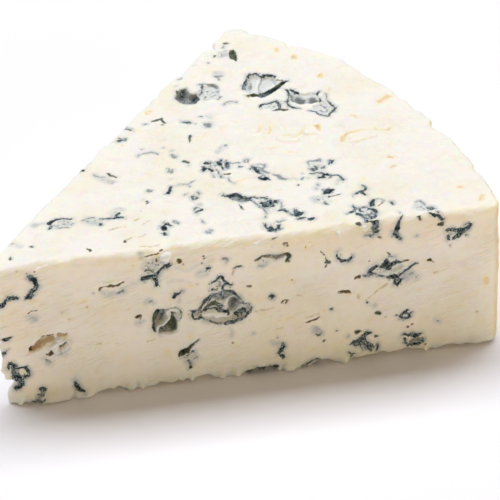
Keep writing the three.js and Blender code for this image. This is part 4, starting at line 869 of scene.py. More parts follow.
@dataclass
class Unevenness:
    """How a cut crumbly cheese departs from its plain form. Sizes in mm.

    A table is a line of knots "place,value", and values are eased between its knots.
    """

    rind_bulge: float = 1.2
    rind_lumps: float = 0.35
    lump_waves: tuple[float, float] = (13.0, 5.5)
    low_corner_swell: float = 0.4  # how far the rind stands out below its rim at the front corner
    rind_reach: tuple[float, float] = (6.0, 1.0)  # how far inside the rim the rind begins and holds in full
    rim_reach: tuple[float, float] = (12.0, 4.0)  # how far below the top the upper edges' tables begin and hold in full
    # How far the rind's upper edge stands out from the wheel's radius: angle from the front cut in degrees, offset.
    rim: str = (
        "0,.1 3.7,.2 6,.1 7.9,-.45 9.6,.1 12.5,-.2 14.7,0 16.3,-.4 16.8,-.85 18.3,-1.1 19.6,.2 21.7,.2 22.4,-.3"
        " 23.3,-.1 24.5,.4 25.5,0 26.3,.1 27.3,.5 28.9,.7 30,.4 32.6,.5 33.6,1.1 35.2,1.2 36.2,1.9 36.9,1.8"
        " 37.5,1.5 39.1,1.4 41.3,1 42.4,.7 43.2,0 43.8,-.6 44.5,.3 45.9,.7 47.5,.5 48.5,.2 49.6,-.2 50.3,.6"
        " 51,.9 53,.5"
    )
    # How far the back cut's upper edge stands out from its plane: distance from the tip, offset.
    back_rim: str = (
        "0,.3 9,.4 13,.5 17,.7 19,.5 21,.8 27,.9 36,.8 39.5,.6 42,.7 46,1.2 47.7,1.2 48.5,.5 50,.8 54,.7 57.3,.9"
        " 63.7,.8 65,.6 67.3,.9 69,.8 71,1.1 72.5,.9 75.4,.6 76.8,.3 77.6,-.3 79.7,.1 83.7,.3 88.4,.3 89.6,-.5"
        " 90.4,-1 91.6,-.8 92.6,.2 93.9,.3 95.3,0 97,-.1 100,-.1"
    )
    front_rim: float = 0.9  # how far the front cut's upper edge is pressed outward
    face_waves: float = 0.25
    top_wavelength: float = 24.0
    side_wavelength: float = 31.0
    skin: float = 9.0  # how far in from the sides the sides' own waves fade out
    tip_reach: float = 11.0
    tip_crumbs: float = 0.35
    # How far the tip has crumbled away at each height: height, loss.
    tip: str = "0,.9 2,.9 3.2,1.8 4.5,2.7 5.7,2.2 6.4,.9 8.4,.6 11.5,.7 14,.5 14.6,1 15.6,.4 20,.5 26,.3 33,.3"
    foot_reach: float = 3.2  # how far up the broken foot reaches
    foot_depth: float = 6.0  # how far in under the wedge the foot's spread reaches
    foot_spread: float = 1.6
    most_spread: float = 1.3
    foot_grain: float = 0.5
    # How high the broken lower edges stand above the board: distance from the tip, height. Where the height is
    # negative the foot spreads outward instead.
    front_foot: str = (
        "0,.3 4,0 6,.2 8,.1 10,-1.1 13.5,-.9 15,-.5 18,-.3 19.5,.1 22.5,.5 24,.9 25.5,0 27,-.3 29,-.2 31,.1 33,.2"
        " 34.5,0 37,.7 39,.3 42,.8 43.5,.6 45,-.1 48,-.4 49.5,-.2 52,.2 54,.1 57,-.4 60,-.4 61.5,.1 63.5,.8 66,.5"
        " 67.5,0 69,-.3 71,.2 75,.6 76.5,.9 78,.2 81,.6 83,.5 85,-.1 88.5,.4 92,.3 94,.2 100,0"
    )
    back_foot: str = "0,.3 9,.2 15,1.1 20,.3 29,1.3 37,.4 44,.9 49,.2 58,1.2 66,.3 75,1.5 82,.5 88,.9 100,.4"
    nicks: float = 0.45  # depth of the nicks in the upper edges that a knife made
    nick_reach: tuple[float, float] = (0.2, 1.8)  # how far from an upper edge they hold in full and end

    def look_up(self, at: np.ndarray, table: str) -> np.ndarray:
        """Reads a table.

        Args:
            at: Where to read it.
            table: The table.

        Returns:
            The table's value at each place.
        """
        knots = np.array([[float(part) for part in knot.split(",")] for knot in table.split()])
        after = np.clip(np.searchsorted(knots[:, 0], at), 1, len(knots) - 1)
        (start, low), (end, high) = knots[after - 1].T, knots[after].T
        return low + (high - low) * ease(np.clip((at - start) / (end - start), 0, 1))

    def apply(self, cut: WheelCut, points: np.ndarray, normal: np.ndarray) -> np.ndarray:
        """Moves the plain wedge's points to where the uneven wedge has them.

        Args:
            cut: The plain wedge.
            points: Points on its surface, one row each.
            normal: The outward direction at each.

        Returns:
            The moved points.
        """
        moved = points.copy()
        gap, way = cut.side(points)
        out = np.concatenate([way, np.zeros((len(points), 1))], axis=1)
        away = np.minimum(cut.radius, np.hypot(points[:, 0], points[:, 1]))
        turn = np.clip(np.arctan2(points[:, 1], points[:, 0]) / math.radians(cut.angle), 0, 1)
        on_rind = smooth(away, *(cut.radius - reach for reach in self.rind_reach))
        at_rim = smooth(points[:, 2], *(cut.thickness - reach for reach in self.rim_reach))
        on_back = smooth(turn, 0.5, 0.8) * at_rim

        # The top rises and falls in broad waves, but for its middle.
        upward = np.clip(normal[:, 2], 0, 1)
        moved[:, 2] += self.face_waves * wander(points, self.top_wavelength, 3) * upward * np.clip(1 + gap / 25, 0, 1)

        # The rind bulges between its corners and is lumpy, and the cuts wave. Towards the top their tables take over.
        broad, narrow = self.lump_waves
        lumps = wander(points, broad, 2) + 0.7 * wander(points, narrow, 5)
        swell = self.rind_bulge * np.sin(np.pi * turn) + self.rind_lumps * lumps * smooth(turn, 0.0, 0.2)
        swell += self.low_corner_swell * (1 - smooth(turn, 0.02, 0.12))
        swell += (self.look_up(turn * cut.angle, self.rim) - swell) * at_rim
        waves = self.face_waves * wander(points, self.side_wavelength, 1)
        waves += self.front_rim * at_rim * (1 - smooth(turn, 0.3, 0.5))
        waves += (self.look_up(away, self.back_rim) - waves) * on_back
        sideways = np.clip(np.linalg.norm(normal[:, :2], axis=1), 0, 1)
        near_side = np.maximum(sideways, 1 - smooth(-gap, 0, self.skin))
        moved += out * ((on_rind * swell + (1 - on_rind) * waves) * near_side)[:, None]

        # The tip has crumbled.
        at_tip = 1 - smooth(away, cut.tip_loss, self.tip_reach)
        broken = self.tip_crumbs * grain(points, 1.7, 14) * smooth(at_tip, 0.3, 0.9)
        moved[:, 0] += self.look_up(points[:, 2], self.tip) * at_tip + broken

        # The foot is chipped in some places and pressed outward in others.
        foot = np.where(turn < 0.5, self.look_up(away, self.front_foot), self.look_up(away, self.back_foot))
        flat = points * (1, 1, 0)
        torn = self.foot_grain * (0.6 * grain(flat, 2.4, 5) + grain(flat, 0.9, 6))
        foot = (foot + torn) * (1 - on_rind)
        fade = 1 - smooth(points[:, 2], cut.low_cut_edge, self.foot_reach)
        lift, spread = np.maximum(foot, 0), np.maximum(-foot, 0)
        slope = 1 - smooth(-gap, 0.2, cut.low_cut_edge + self.foot_spread * 1.4)
        moved[:, 2] += lift * fade * slope
        push = np.minimum(spread * self.foot_spread, self.most_spread)
        moved += out * (push * fade * (1 - smooth(-gap, 0, self.foot_depth)))[:, None]

        # The knife has nicked the upper edges, the back one less.
        from_edge = np.maximum(-gap, cut.thickness - points[:, 2])
        nick = np.maximum(0, grain(points, 2.6, 8) + 0.5 * grain(points, 1.2, 9) - 0.1)
        nick *= (1 - smooth(from_edge, *self.nick_reach)) * (1 - on_rind) * (1 - 0.6 * on_back)
        moved -= normal * (self.nicks * nick)[:, None]
        return moved


RING = 9  # how many places an eye's outline has


@dataclass(frozen=True)
class Eye:
    """One eye of a hidden face: its place along and up the face and its sizes in mm, and its turn in radians."""

    along: float
    up: float
    size: float
    wide: float
    depth: float
    tilt: float

    def at(self, turn: float, reach: float) -> str:
        """Gives a place round the eye as part of a course.

        Args:
            turn: The way to go from its middle, in radians.
            reach: How far to go: 1 is its edge.

        Returns:
            The place.
        """
        x, y = self.size / 2 * reach * math.cos(turn), self.wide / 2 * reach * math.sin(turn)
        across = self.along + x * math.cos(self.tilt) - y * math.sin(self.tilt)
        return f"{across:.2f},{self.up + x * math.sin(self.tilt) + y * math.cos(self.tilt):.2f}"

    def marks(self, draws: Iterator[float]) -> list[Mark]:
        """Draws the eye: its hollow, the mould that lines it and the threads that leave it.

        Args:
            draws: The run of draws.

        Returns:
            The marks.
        """
        reaches = [0.85 + 0.3 * next(draws) for _ in range(RING)]
        ring = [self.at(math.tau * i / RING, reach) for i, reach in enumerate(reaches)]
        marks: list[Mark] = [Patch(Tint.PALE if next(draws) > 0.5 else Tint.GREY, self.depth, " ".join(ring))]
        start = int(RING * next(draws))
        arc = [ring[(start + i) % RING] for i in range(6)]
        marks.append(Vein(Tint.DARK, 0.35 + 0.35 * next(draws), " ".join(arc)))
        width = 0.6 + 0.5 * next(draws)
        marks.append(Vein(Tint.DARK, width, f"{self.at(next(draws) * 6, 0.5)} {self.at(next(draws) * 6, 0.3)}"))
        turn = math.tau * next(draws)
        thread = [self.at(turn + 0.25 * i * (next(draws) - 0.5), 1.1 + 0.35 * i) for i in range(5)]
        tint = Tint.DARK if next(draws) > 0.4 else Tint.OLIVE
        marks.append(Vein(tint, 0.3 + 0.3 * next(draws), " ".join(thread)))
        marks.append(Vein(Tint.BLOOM, 1.2 + next(draws), " ".join(thread[:3])))
        for _ in range(3):
            spot = self.at(math.tau * next(draws), 1.3 + 1.2 * next(draws))
            tint = (Tint.GREY, Tint.BROWN, Tint.YELLOW, Tint.OLIVE)[int(4 * next(draws))]
            marks.append(Vein(tint, 0.3 + 0.5 * next(draws), spot))
        return marks


@dataclass
class HiddenEyes:
    """The eyes of the two faces that nobody sees first, spread by chance as on the solid they dress. Sizes in mm."""

    back_count: int = 11
    back_sizes: tuple[float, float] = (7.0, 1.8)  # the largest and the smallest
    under_count: int = 7
    under_sizes: tuple[float, float] = (6.0, 2.0)
    clear: float = 5.0  # how far eyes stay from a face's edges
    seed: int = 11

    def _draws(self) -> Iterator[float]:
        """Yields evenly spread draws between 0 and 1, the same on every run.

        Returns:
            The endless run of draws.
        """
        modulus = 2**31 - 1
        state = self.seed
        while True:
            state = (state * 16807) % modulus
            yield state / modulus

    def make(self, cut: WheelCut) -> tuple[list[Mark], list[Mark]]:
        """Makes the marks of the back cut and of the underside.

        Args:
            cut: The plain wedge.

        Returns:
            The back cut's marks and the underside's marks.
        """
        draws = self._draws()

        def on_back(first: float, second: float) -> Spot:
            """Places an eye on the back cut from two draws."""
            along = 2.5 * self.clear + (cut.radius - self.clear - 2.5 * self.clear) * second
            return along, self.clear + (cut.thickness - 2 * self.clear) * first

        def under(first: float, second: float) -> Spot:
            """Places an eye on the underside from two draws."""
            away, turn = cut.radius * (0.35 + 0.55 * second), math.radians(cut.angle) * (0.15 + 0.7 * first)
            return away * math.cos(turn), away * math.sin(turn)

        back = self._scatter(self.back_count, self.back_sizes, on_back, draws)
        return back, self._scatter(self.under_count, self.under_sizes, under, draws)

    def _scatter(
        self,
        count: int,
        sizes: tuple[float, float],
        pick: Callable[[float, float], Spot],
        draws: Iterator[float],
    ) -> list[Mark]:
        """Spreads eyes over a face.

        Args:
            count: How many eyes.
            sizes: The largest and the smallest length, in mm.
            pick: Turns two draws into a place on the face.
            draws: The run of draws.

        Returns:
            The marks of all the eyes.
        """
        eyes = []
        for i in range(count):
            size = sizes[0] + (sizes[1] - sizes[0]) * math.sqrt((i + next(draws)) / count)
            along, up = pick(next(draws), (i + next(draws)) / count)
            wide = size * (0.35 + 0.3 * next(draws))
            eyes.append(Eye(along, up, size, wide, 0.7 + 0.22 * size, math.pi * next(draws)))
        return [mark for eye in eyes for mark in eye.marks(draws)]


@dataclass
class Relief:
    """Works out, for points of the wedge, how far each tint is and how deep the surface lies. Sizes in mm."""

    marks: list[tuple[Face, list[Mark]]]
    wall: float = 0.45  # a hollow's steep wall is at most this wide
    lip: float = 0.05  # it begins this far outside the hollow's outline
    narrow: float = 0.12  # the wall of the shallowest hollow
    steep: float = 0.6  # the share of the depth that the steep wall takes
    warp: tuple[tuple[float, float], ...] = ((1.7, 0.2), (0.7, 0.12))  # wavelength and strength of the marks' wobble

    def wobble(self, points: np.ndarray) -> np.ndarray:
        """Moves points a little, so that drawn lines get the ragged course of real mould.

        Args:
            points: The points, one row each.

        Returns:
            The moved points.
        """
        moved = points.copy()
        for wavelength, strength in self.warp:
            for axis in range(3):
                moved[:, axis] += strength * grain(points, wavelength, 20 + axis)
        return moved

    def measure(
        self, points: np.ndarray, moved: np.ndarray
    ) -> tuple[dict[Tint, np.ndarray], np.ndarray, np.ndarray]:
        """Measures points against every mark.

        Args:
            points: Points on the plain wedge, one row each.
            moved: Where the uneven wedge has them.

        Returns:
            Each tint's distance, negative inside it; how deep the surface lies; and how far it stands up, in mm.
        """
        near = {tint: np.full(len(points), FAR) for tint in Tint}
        sunk, raised = np.zeros(len(points)), np.zeros(len(points))
        found = list(self._find(points, moved))
        for mark, rows, gap in found:
            depth = mark.sink()
            if depth > 0:
                sunk[rows] = np.maximum(sunk[rows], depth * self._bowl(gap, depth))
            elif depth < 0:
                share = 1 - np.clip(-2 * gap / mark.width, 0, 1)
                raised[rows] = np.maximum(raised[rows], -depth * np.sqrt(1 - share * share))
        for mark, rows, gap in found:
            inside = sunk[rows][gap < 0]
            if isinstance(mark, Vein) and len(inside):
                # A thread on a hollow's rim doesn't run down its wall.
                gap = gap + 0.8 * np.maximum(np.abs(sunk[rows] - np.percentile(inside, 30)) - 0.3, 0)
            near[mark.tint][rows] = np.minimum(near[mark.tint][rows], gap)
        return near, sunk, raised

    def _find(self, points: np.ndarray, moved: np.ndarray) -> Iterator[tuple[Mark, np.ndarray, np.ndarray]]:
        """Yields the marks with the points near them.

        Args:
            points: Points on the plain wedge, one row each.
            moved: Where the uneven wedge has them.

        Returns:
            The run of marks, each with the rows of the points near it and their distances.
        """
        warp = self.wobble(points) - points
        for face, marks in self.marks:
            here = np.nonzero(face.flatten(points)[:, 2] < FAR)[0]
            local = face.carry_back(moved[here] + warp[here])
            flat = face.flatten(local)
            for mark in marks:
                spots = mark.spots()[:, :2]
                low, high = spots.min(axis=0) - FAR, spots.max(axis=0) + FAR
                close = np.nonzero(np.all((flat[:, :2] > low) & (flat[:, :2] < high), axis=1))[0]
                if len(close):
                    yield mark, here[close], mark.reach(face, local[close])

    def _bowl(self, gap: np.ndarray, depth: float) -> np.ndarray:
        """Gives how far down a hollow's wall points are: steep at first, then rounded.

        Args:
            gap: The points' distances from the hollow's outline, negative inside it.
            depth: The hollow's depth.

        Returns:
            A share for each point, from 0 at the rim to 1 at the floor.
        """
        steep = smooth(-gap, -self.lip, min(self.wall, self.narrow + 0.5 * depth))
        return self.steep * steep + (1 - self.steep) * smooth(-gap, 0, self.narrow + 0.6 * depth)


@dataclass
class CheeseWedge:
    """The wedge of cheese, as one closed mesh that carries its mould as attributes. Sizes in mm."""

    cut: WheelCut = field(default_factory=WheelCut)
    uneven: Unevenness = field(default_factory=Unevenness)
    eyes: HiddenEyes = field(default_factory=HiddenEyes)
    low_corner: tuple[float, float] = (1.722, -1.444)  # the solid's lowest x and y in the wheel's frame
    skin: float = 1.2  # points this close to the front cut or the top belong to the faces in view
    # The mesh is halved once in the faces in view and this close to a mark, and again this close to one.
    fine_reach: tuple[float, float] = (0.8, 0.15)
    streaks: float = 0.09  # depth of the knife's drag marks
    streak_size: Place = (6.0, 1.5, 0.5)  # their size along the drag, across the wedge and across the drag
    crumbs: float = 0.06  # depth of the paste's grain
    fold_depth: tuple[float, float] = (0.4, 0.25)  # depth of the broad and the fine folds inside hollows
    fold_reach: tuple[float, float] = (0.5, 1.8)  # how deep the folds begin and hold in full
    rind_width: tuple[float, float] = (2.4, 0.4)  # how far inside the rim the rind begins and holds in full

    def build(self) -> bpy.types.Object:
        """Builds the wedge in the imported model's frame.

        Returns:
            The finished object, at the origin.
        """
        relief = Relief(self._faces())
        wedge = self.cut.build()
        self._refine(wedge.data, relief, self.fine_reach[0], True)
        self._refine(wedge.data, relief, self.fine_reach[1], False)
        self._shape(wedge.data, relief)
        wedge.name = wedge.data.name = "cheese_wedge_dressed"
        return wedge

    def _faces(self) -> list[tuple[Face, list[Mark]]]:
        """Gathers what shows on each face.

        Returns:
            The faces with their marks.
        """
        turn = math.radians(self.cut.angle)
        along_back = (math.cos(turn), math.sin(turn), 0.0)
        back, under = self.eyes.make(self.cut)
        x, y, z = (1.0, 0.0, 0.0), (0.0, 1.0, 0.0), (0.0, 0.0, 1.0)
        return [
            (Face((0, 0, 0), x, z, FRONT_DATUM, EDGE_LEAN), FRONT_MARKS),
            (Face((0, 0, self.cut.thickness), x, y, 0.0, EDGE_LEAN), TOP_MARKS),
            (Face((0, 0, 0), along_back, z), back),
            (Face((0, 0, 0), x, y), under),
        ]

    def _refine(self, mesh: bpy.types.Mesh, relief: Relief, reach: float, in_view: bool) -> None:
        """Halves the mesh where it needs finer detail.

        Args:
            mesh: The wedge's mesh, in mm.
            relief: The marks.
            reach: How far round the marks the mesh is halved.
            in_view: Whether the two faces in view are halved as a whole.
        """
        points, normal = self.cut.settle(read_points(mesh))
        near, _, _ = relief.measure(points, self.uneven.apply(self.cut, points, normal))
        wanted = np.minimum.reduce([gap for tint, gap in near.items() if tint is not Tint.BLOOM]) < reach
        if in_view:
            wanted |= (points[:, 1] < self.skin) | (points[:, 2] > self.cut.thickness - self.skin)
        bm = bmesh.new()
        bm.from_mesh(mesh)
        bm.verts.ensure_lookup_table()
        faces = [face for face in bm.faces if any(wanted[vert.index] for vert in face.verts)]
        edges = list({edge for face in faces for edge in face.edges})
        bmesh.ops.subdivide_edges(bm, edges=edges, cuts=1, use_grid_fill=True, use_single_edge=True)
        bmesh.ops.triangulate(bm, faces=[face for face in bm.faces if len(face.verts) > 4])
        bm.to_mesh(mesh)
        bm.free()

    def _shape(self, mesh: bpy.types.Mesh, relief: Relief) -> None:
        """Moves the fine mesh to its final form and writes the mould onto it.

        Args:
            mesh: The wedge's mesh, in mm.
            relief: The marks.
        """
        plain, normal = self.cut.settle(read_points(mesh))
        shaped = self.uneven.apply(self.cut, plain, normal)
        near, sunk, raised = relief.measure(plain, shaped)
        drag = grain(plain @ self._drag_frame(), 1.0, 31)
        fine = self.streaks * drag + self.crumbs * grain(plain, 1.3, 40) + 0.5 * self.crumbs * grain(plain, 0.5, 41)
        folds = self.fold_depth[0] * grain(plain, 1.3, 50) + self.fold_depth[1] * grain(plain, 0.6, 51)
        inner = folds * smooth(sunk, *self.fold_reach)
        level = self.streaks + 1.5 * self.crumbs  # keeps the grain inside the plain form
        shaped += normal * (raised - sunk + fine + inner - level)[:, None]
        layers = {tint.value: gap for tint, gap in near.items() if tint is not Tint.PASTE}
        layers[RIND_LAYER] = self._rind(plain, normal)
        for name, values in layers.items():
            layer = mesh.attributes.new(name, "FLOAT", "POINT")
            layer.data.foreach_set("value", values.astype(np.float32))
        low, high = (np.array(corner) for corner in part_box(NODE))
        origin = np.array([low[0] - self.low_corner[0] * MM, low[1] - self.low_corner[1] * MM, 0.0])
        write_points(mesh, np.clip(origin + shaped * MM, low, high))
        mesh.shade_smooth()

    def _rind(self, points: np.ndarray, normal: np.ndarray) -> np.ndarray:
        """Finds the rind.

        Args:
            points: Points on the plain wedge, one row each.
            normal: The outward direction at each.

        Returns:
            How far each point belongs to the rind, from 0 to 1.
        """
        away = np.hypot(points[:, 0], points[:, 1])
        outward = np.clip((normal[:, :2] * points[:, :2]).sum(axis=1) / np.maximum(away, 1), 0, 1)
        return smooth(away, *(self.cut.radius - width for width in self.rind_width)) * smooth(outward, 0.1, 0.8)

    def _drag_frame(self) -> np.ndarray:
        """Works out the frame in which the knife's drag marks are as long as they are wide.

        Returns:
            Its axes, one column each, scaled by the marks' size.
        """
        long_way = np.array([math.cos(DRAG_RISE), 0, math.sin(DRAG_RISE)])
        short_way = np.array([-math.sin(DRAG_RISE), 0, math.cos(DRAG_RISE)])
        along, across_wedge, across = self.streak_size
        return np.stack([long_way / along, np.array([0, 1 / across_wedge, 0]), short_way / across], axis=1)


def read_points(mesh: bpy.types.Mesh) -> np.ndarray:
    """Reads a mesh's points.

    Args:
        mesh: The mesh.

    Returns:
        The points, one row each.
    """
    flat = np.empty(len(mesh.vertices) * 3, np.float32)
    mesh.vertices.foreach_get("co", flat)
    return flat.reshape(-1, 3).astype(float)


def write_points(mesh: bpy.types.Mesh, points: np.ndarray) -> None:
    """Writes a mesh's points, one row each."""
    mesh.vertices.foreach_set("co", points.astype(np.float32).ravel())
    mesh.update()


SOFT = {"interpolation_type": "SMOOTHSTEP"}  # makes a Map Range node start and end softly


class Pattern(Enum):
    """The noises of the paste: the size of their lumps in mm, and how many finer ones lie over them."""

    FRAY = (0.45, 3.0)  # frays the mould's edges
    FRAY_BROAD = (1.5, 2.0)
    MOTTLE = (0.8, 3.0)  # where mould is thick
    TUFT_LINE = (0.85, 2.0)  # grey down is thin along the middle values of this one
    TUFT_PATCH = (3.0, 1.0)
    WARM_BROAD = (16.0, 2.0)  # where the paste is warmer
    WARM_CLOSE = (2.2, 4.0)
    SCRATCH = (3.2, 2.0)  # drawn out along the knife's drag
    # where the drag marks get painted shade
    DRAG_SHADE_PATCH = (11.0, 2.0)
    SCRATCH_DEEP = (9.0, 2.0)
    CRUMB = (0.7, 4.0)
    RIND_BLOTCH = (3.0, 6.0)
    HAZE_PATCH = (1.5, 3.0)
    SPECK = (0.5, 1.5)


@dataclass(frozen=True)
class Stain:
    """One tint's look: its sRGB colours at the edge and inside, its soft edge, how much it hides and its growth.

    The soft edge and the growth past the drawn marks are in mm. Fluff is the share of grey down on a wide mark, and
    ragged tells how much the edge is frayed.
    """

    rim: str
    core: str
    soft: float = 0.15
    most: float = 1.0
    growth: float = 0.0
    fluff: float = 0.0
    ragged: float = 1.0


@dataclass
class BlueCheesePaste:
    """Ripe cow's-milk blue cheese, cut with a knife: a moist, close, cream-white paste.

    Light enters it and comes out again a few millimetres away, which warms its shaded side. Blue-green mould,
    grey and velvety, lines its hollows and stains the paste round them.
    """

    paste: str = "#f5f1e7"
    paste_warm: str = "#f0e8cf"
    # painted shade: the colour that darkens the knife's drag marks, standing in for their shadow
    drag_mark_painted_shade: str = "#e3dac2"
    rind: str = "#efe0bb"
    rind_deep: str = "#d8c190"
    haze: str = "#aebabd"
    haze_deep: str = "#7c929b"
    speck: str = "#22363c"
    down: str = "#b4c3c6"
    # The tints in the order in which they are laid. The dark specks lie over the grey mould and under the rest.
    stains: tuple[tuple[Tint, Stain], ...] = (
        (Tint.TAN, Stain("#e2d6b6", "#c8b78f", 0.25, 0.85)),
        (Tint.YELLOW, Stain("#f7ecce", "#efd8a2", 1.0, 0.85)),
        (Tint.PALE, Stain("#e9eae4", "#d2d6d1", 0.2, 0.9)),
        (Tint.GREY, Stain("#b5b9b5", "#838986", 0.2, 0.92)),
        # painted shade in hollows
        (Tint.SHADE, Stain("#747774", "#4d504e", 0.7, 0.9)),
        (Tint.OLIVE, Stain("#8a907c", "#474d3e", 0.14, 1.0, 0.03)),
        # painted shade in cracks and small holes, in brown
        (Tint.BROWN, Stain("#968764", "#4c432f", 0.12, 1.0, 0.02)),
        (Tint.FOLD, Stain("#eff0ea", "#f3f3ee", 0.2, 0.9)),
        (Tint.DARK, Stain("#164352", "#03171e", 0.12, 1.0, 0.0, 0.8, 1.1)),
    )
    # The haze of fine mould round the marks of a tint: the distances in mm where it ends and is full, its strength.
    hazes: tuple[tuple[Tint, float, float, float], ...] = (
        (Tint.DARK, 1.2, 0.0, 0.55),
        (Tint.BLOOM, 0.8, -0.7, 0.75),
        (Tint.OLIVE, 0.7, 0.0, 0.35),
        (Tint.GREY, 0.9, 0.0, 0.5),
    )
    drag_length: float = 7.0  # how many times longer than wide the knife's drag marks are
    drag_shade_heights: tuple[float, float] = (0.0305, 0.0275)  # in metres, where the painted shade in the drag marks ends and is full, which keeps it off the top
    noise_roughness: float = 0.6
    drag_bump: float = 0.45  # in mm
    crumb_bump: float = 0.2  # in mm
    ior: float = 1.45
    roughness: tuple[float, float] = (0.5, 0.95)  # of the moist paste and of dry velvety mould
    subsurface: float = 0.85
    scatter_mm: float = 4.6
    scatter_radii: Place = (1.0, 0.65, 0.27)
    tree: bpy.types.NodeTree = field(init=False)
    place: bpy.types.NodeSocket = field(init=False)  # the Object coordinates
    noise: dict[Pattern, bpy.types.Node] = field(init=False, default_factory=dict)
    gap: dict[Tint, bpy.types.NodeSocket] = field(init=False, default_factory=dict)  # distances to the tints, in mm

    def make(self) -> bpy.types.Material:
        """Makes the material.

        Returns:
            The material, whose patterns read Object coordinates and the mesh's mould attributes.
        """
        material = bpy.data.materials.new("blue_cheese_paste")
        material.use_nodes = True
        self.tree = material.node_tree
        self.tree.nodes.clear()
        self.place = self._add("TexCoord").outputs["Object"]
        self._prepare()
        fine = self._add("MapRange", self.noise[Pattern.FRAY], 0.25, 0.75, -0.16, 0.16)
        broad = self._add("MapRange", self.noise[Pattern.FRAY_BROAD], 0.25, 0.75, -0.14, 0.14)
        fray = self._add("Math", fine, broad, operation="ADD")
        mottle = self._add("MapRange", self.noise[Pattern.MOTTLE], 0.35, 0.65, 0.0, 1.0)
        thick = self._add("MapRange", mottle, 0.0, 1.0, 0.5, 1.25)
        tufts = self._tufts()
        colour = self._haze(self._paste())
        for tint, look in self.stains:
            frayed = self._add("Math", fray, look.ragged, operation="MULTIPLY")
            frayed = self._add("Math", self.gap[tint], frayed, operation="ADD")
            colour = self._stain(colour, frayed, look, thick, tufts)
            if tint is Tint.GREY:
                colour = self._specks(colour)
        dull = self._dullness(fray)
        shader = self._add(
            "BsdfPrincipled",
            subsurface_method="RANDOM_WALK",
            Base_Color=colour,
            Roughness=self._add("MapRange", dull, 0.0, 0.8, *self.roughness),
            IOR=self.ior,
            Subsurface_Weight=self._add("Math", self.subsurface, dull, operation="SUBTRACT"),
            Subsurface_Radius=self.scatter_radii,
            Subsurface_Scale=self.scatter_mm * MM,
            Normal=self._bump(),
        )
        self._add("OutputMaterial", Surface=shader)
        return material

    def _add(self, kind: str, *values: object, **parts: object) -> bpy.types.Node:
        """Adds a node to the tree, with its settings and links.

        Args:
            kind: The node's type without "ShaderNode" before it, such as "Math".
            values: What goes into its inputs, in order: a value, an output, or a node for its first output in use.
            parts: Settings by their own names, such as operation, and inputs by theirs, with "_" for a space.

        Returns:
            The node.
        """
        node = self.tree.nodes.new(f"ShaderNode{kind}")
        settings = {name: value for name, value in parts.items() if hasattr(node, name)}
        for name, value in settings.items():
            setattr(node, name, value)
        feeds = list(zip((socket for socket in node.inputs if socket.enabled), values))
        feeds += [(node.inputs[name.replace("_", " ")], parts[name]) for name in parts if name not in settings]
        for socket, value in feeds:
            if isinstance(value, bpy.types.Node):
                value = next(output for output in value.outputs if output.enabled)
            if isinstance(value, bpy.types.NodeSocket):
                self.tree.links.new(value, socket)
            else:
                socket.default_value = value
        return node

    def _prepare(self) -> None:
        """Adds every noise, each at its own size, and reads the distance to each tint's marks."""
        turned = {"vector_type": "TEXTURE", "Rotation": (0, -DRAG_RISE, 0), "Scale": (1, 1, 1 / self.drag_length)}
        along_drag = self._add("Mapping", self.place, **turned)
        for pattern in Pattern:
            size, detail = pattern.value
            at = along_drag if pattern is Pattern.SCRATCH else self.place
            scale = 1 / (size * MM)
            self.noise[pattern] = self._add("TexNoise", at, Scale=scale, Detail=detail, Roughness=self.noise_roughness)
        for tint in Tint:
            if tint is not Tint.PASTE:
                self.gap[tint] = self._add("Attribute", attribute_name=tint.value).outputs["Fac"]

    def _tufts(self) -> bpy.types.Node:
        """Adds the tufts of grey down, parted by fine winding lines and thinner in patches.

        Returns:
            The node that gives how much down there is, from 0 to 1.
        """
        line = self._add("Math", self.noise[Pattern.TUFT_LINE], 0.5, operation="SUBTRACT")
        line = self._add("Math", line, operation="ABSOLUTE")
        parted = self._add("MapRange", line, 0.025, 0.08, 0.0, 1.0, **SOFT)
        patchy = self._add("MapRange", self.noise[Pattern.TUFT_PATCH], 0.42, 0.54, 0.3, 1.0, **SOFT)
        return self._add("Math", parted, patchy, operation="MULTIPLY")

    def _paste(self) -> bpy.types.Node:
        """Adds the bare paste, warmer in patches, with painted shade in the knife's drag marks below the top, and the
        rind.

        Returns:
            The node that gives the colour.
        """
        broad = self._add("MapRange", self.noise[Pattern.WARM_BROAD], 0.42, 0.7, 0.0, 0.5, **SOFT)
        close = self._add("MapRange", self.noise[Pattern.WARM_CLOSE], 0.5, 0.72, 0.0, 0.5, **SOFT)
        warm = self._add("Math", broad, close, operation="ADD")
        paste = self._add("Mix", warm, linear(self.paste), linear(self.paste_warm), data_type="RGBA")
        # Painted shade: the knife's drag marks are darkened in patches on the front and sides, but not on the top.
        height = self._add("SeparateXYZ", self.place).outputs["Z"]
        patchy = self._add("MapRange", self.noise[Pattern.DRAG_SHADE_PATCH], 0.47, 0.62, 0.0, 0.45, **SOFT)
        below = self._add("MapRange", height, *self.drag_shade_heights, 0.0, 1.0, **SOFT)
        patchy = self._add("Math", patchy, below, operation="MULTIPLY")
        painted_drag_shade = self._add("MapRange", self.noise[Pattern.SCRATCH], 0.47, 0.33, 0.0, 1.0, **SOFT)
        painted_drag_shade = self._add("Math", painted_drag_shade, patchy, operation="MULTIPLY")
        paste = self._add("Mix", painted_drag_shade, paste, linear(self.drag_mark_painted_shade), data_type="RGBA")
        rind = self._add("Attribute", attribute_name=RIND_LAYER).outputs["Fac"]
        blotch = self._add("MapRange", self.noise[Pattern.RIND_BLOTCH], 0.3, 0.72, 0.0, 0.75)
        skin = self._add("Mix", blotch, linear(self.rind), linear(self.rind_deep), data_type="RGBA")
        return self._add("Mix", rind, paste, skin, data_type="RGBA")

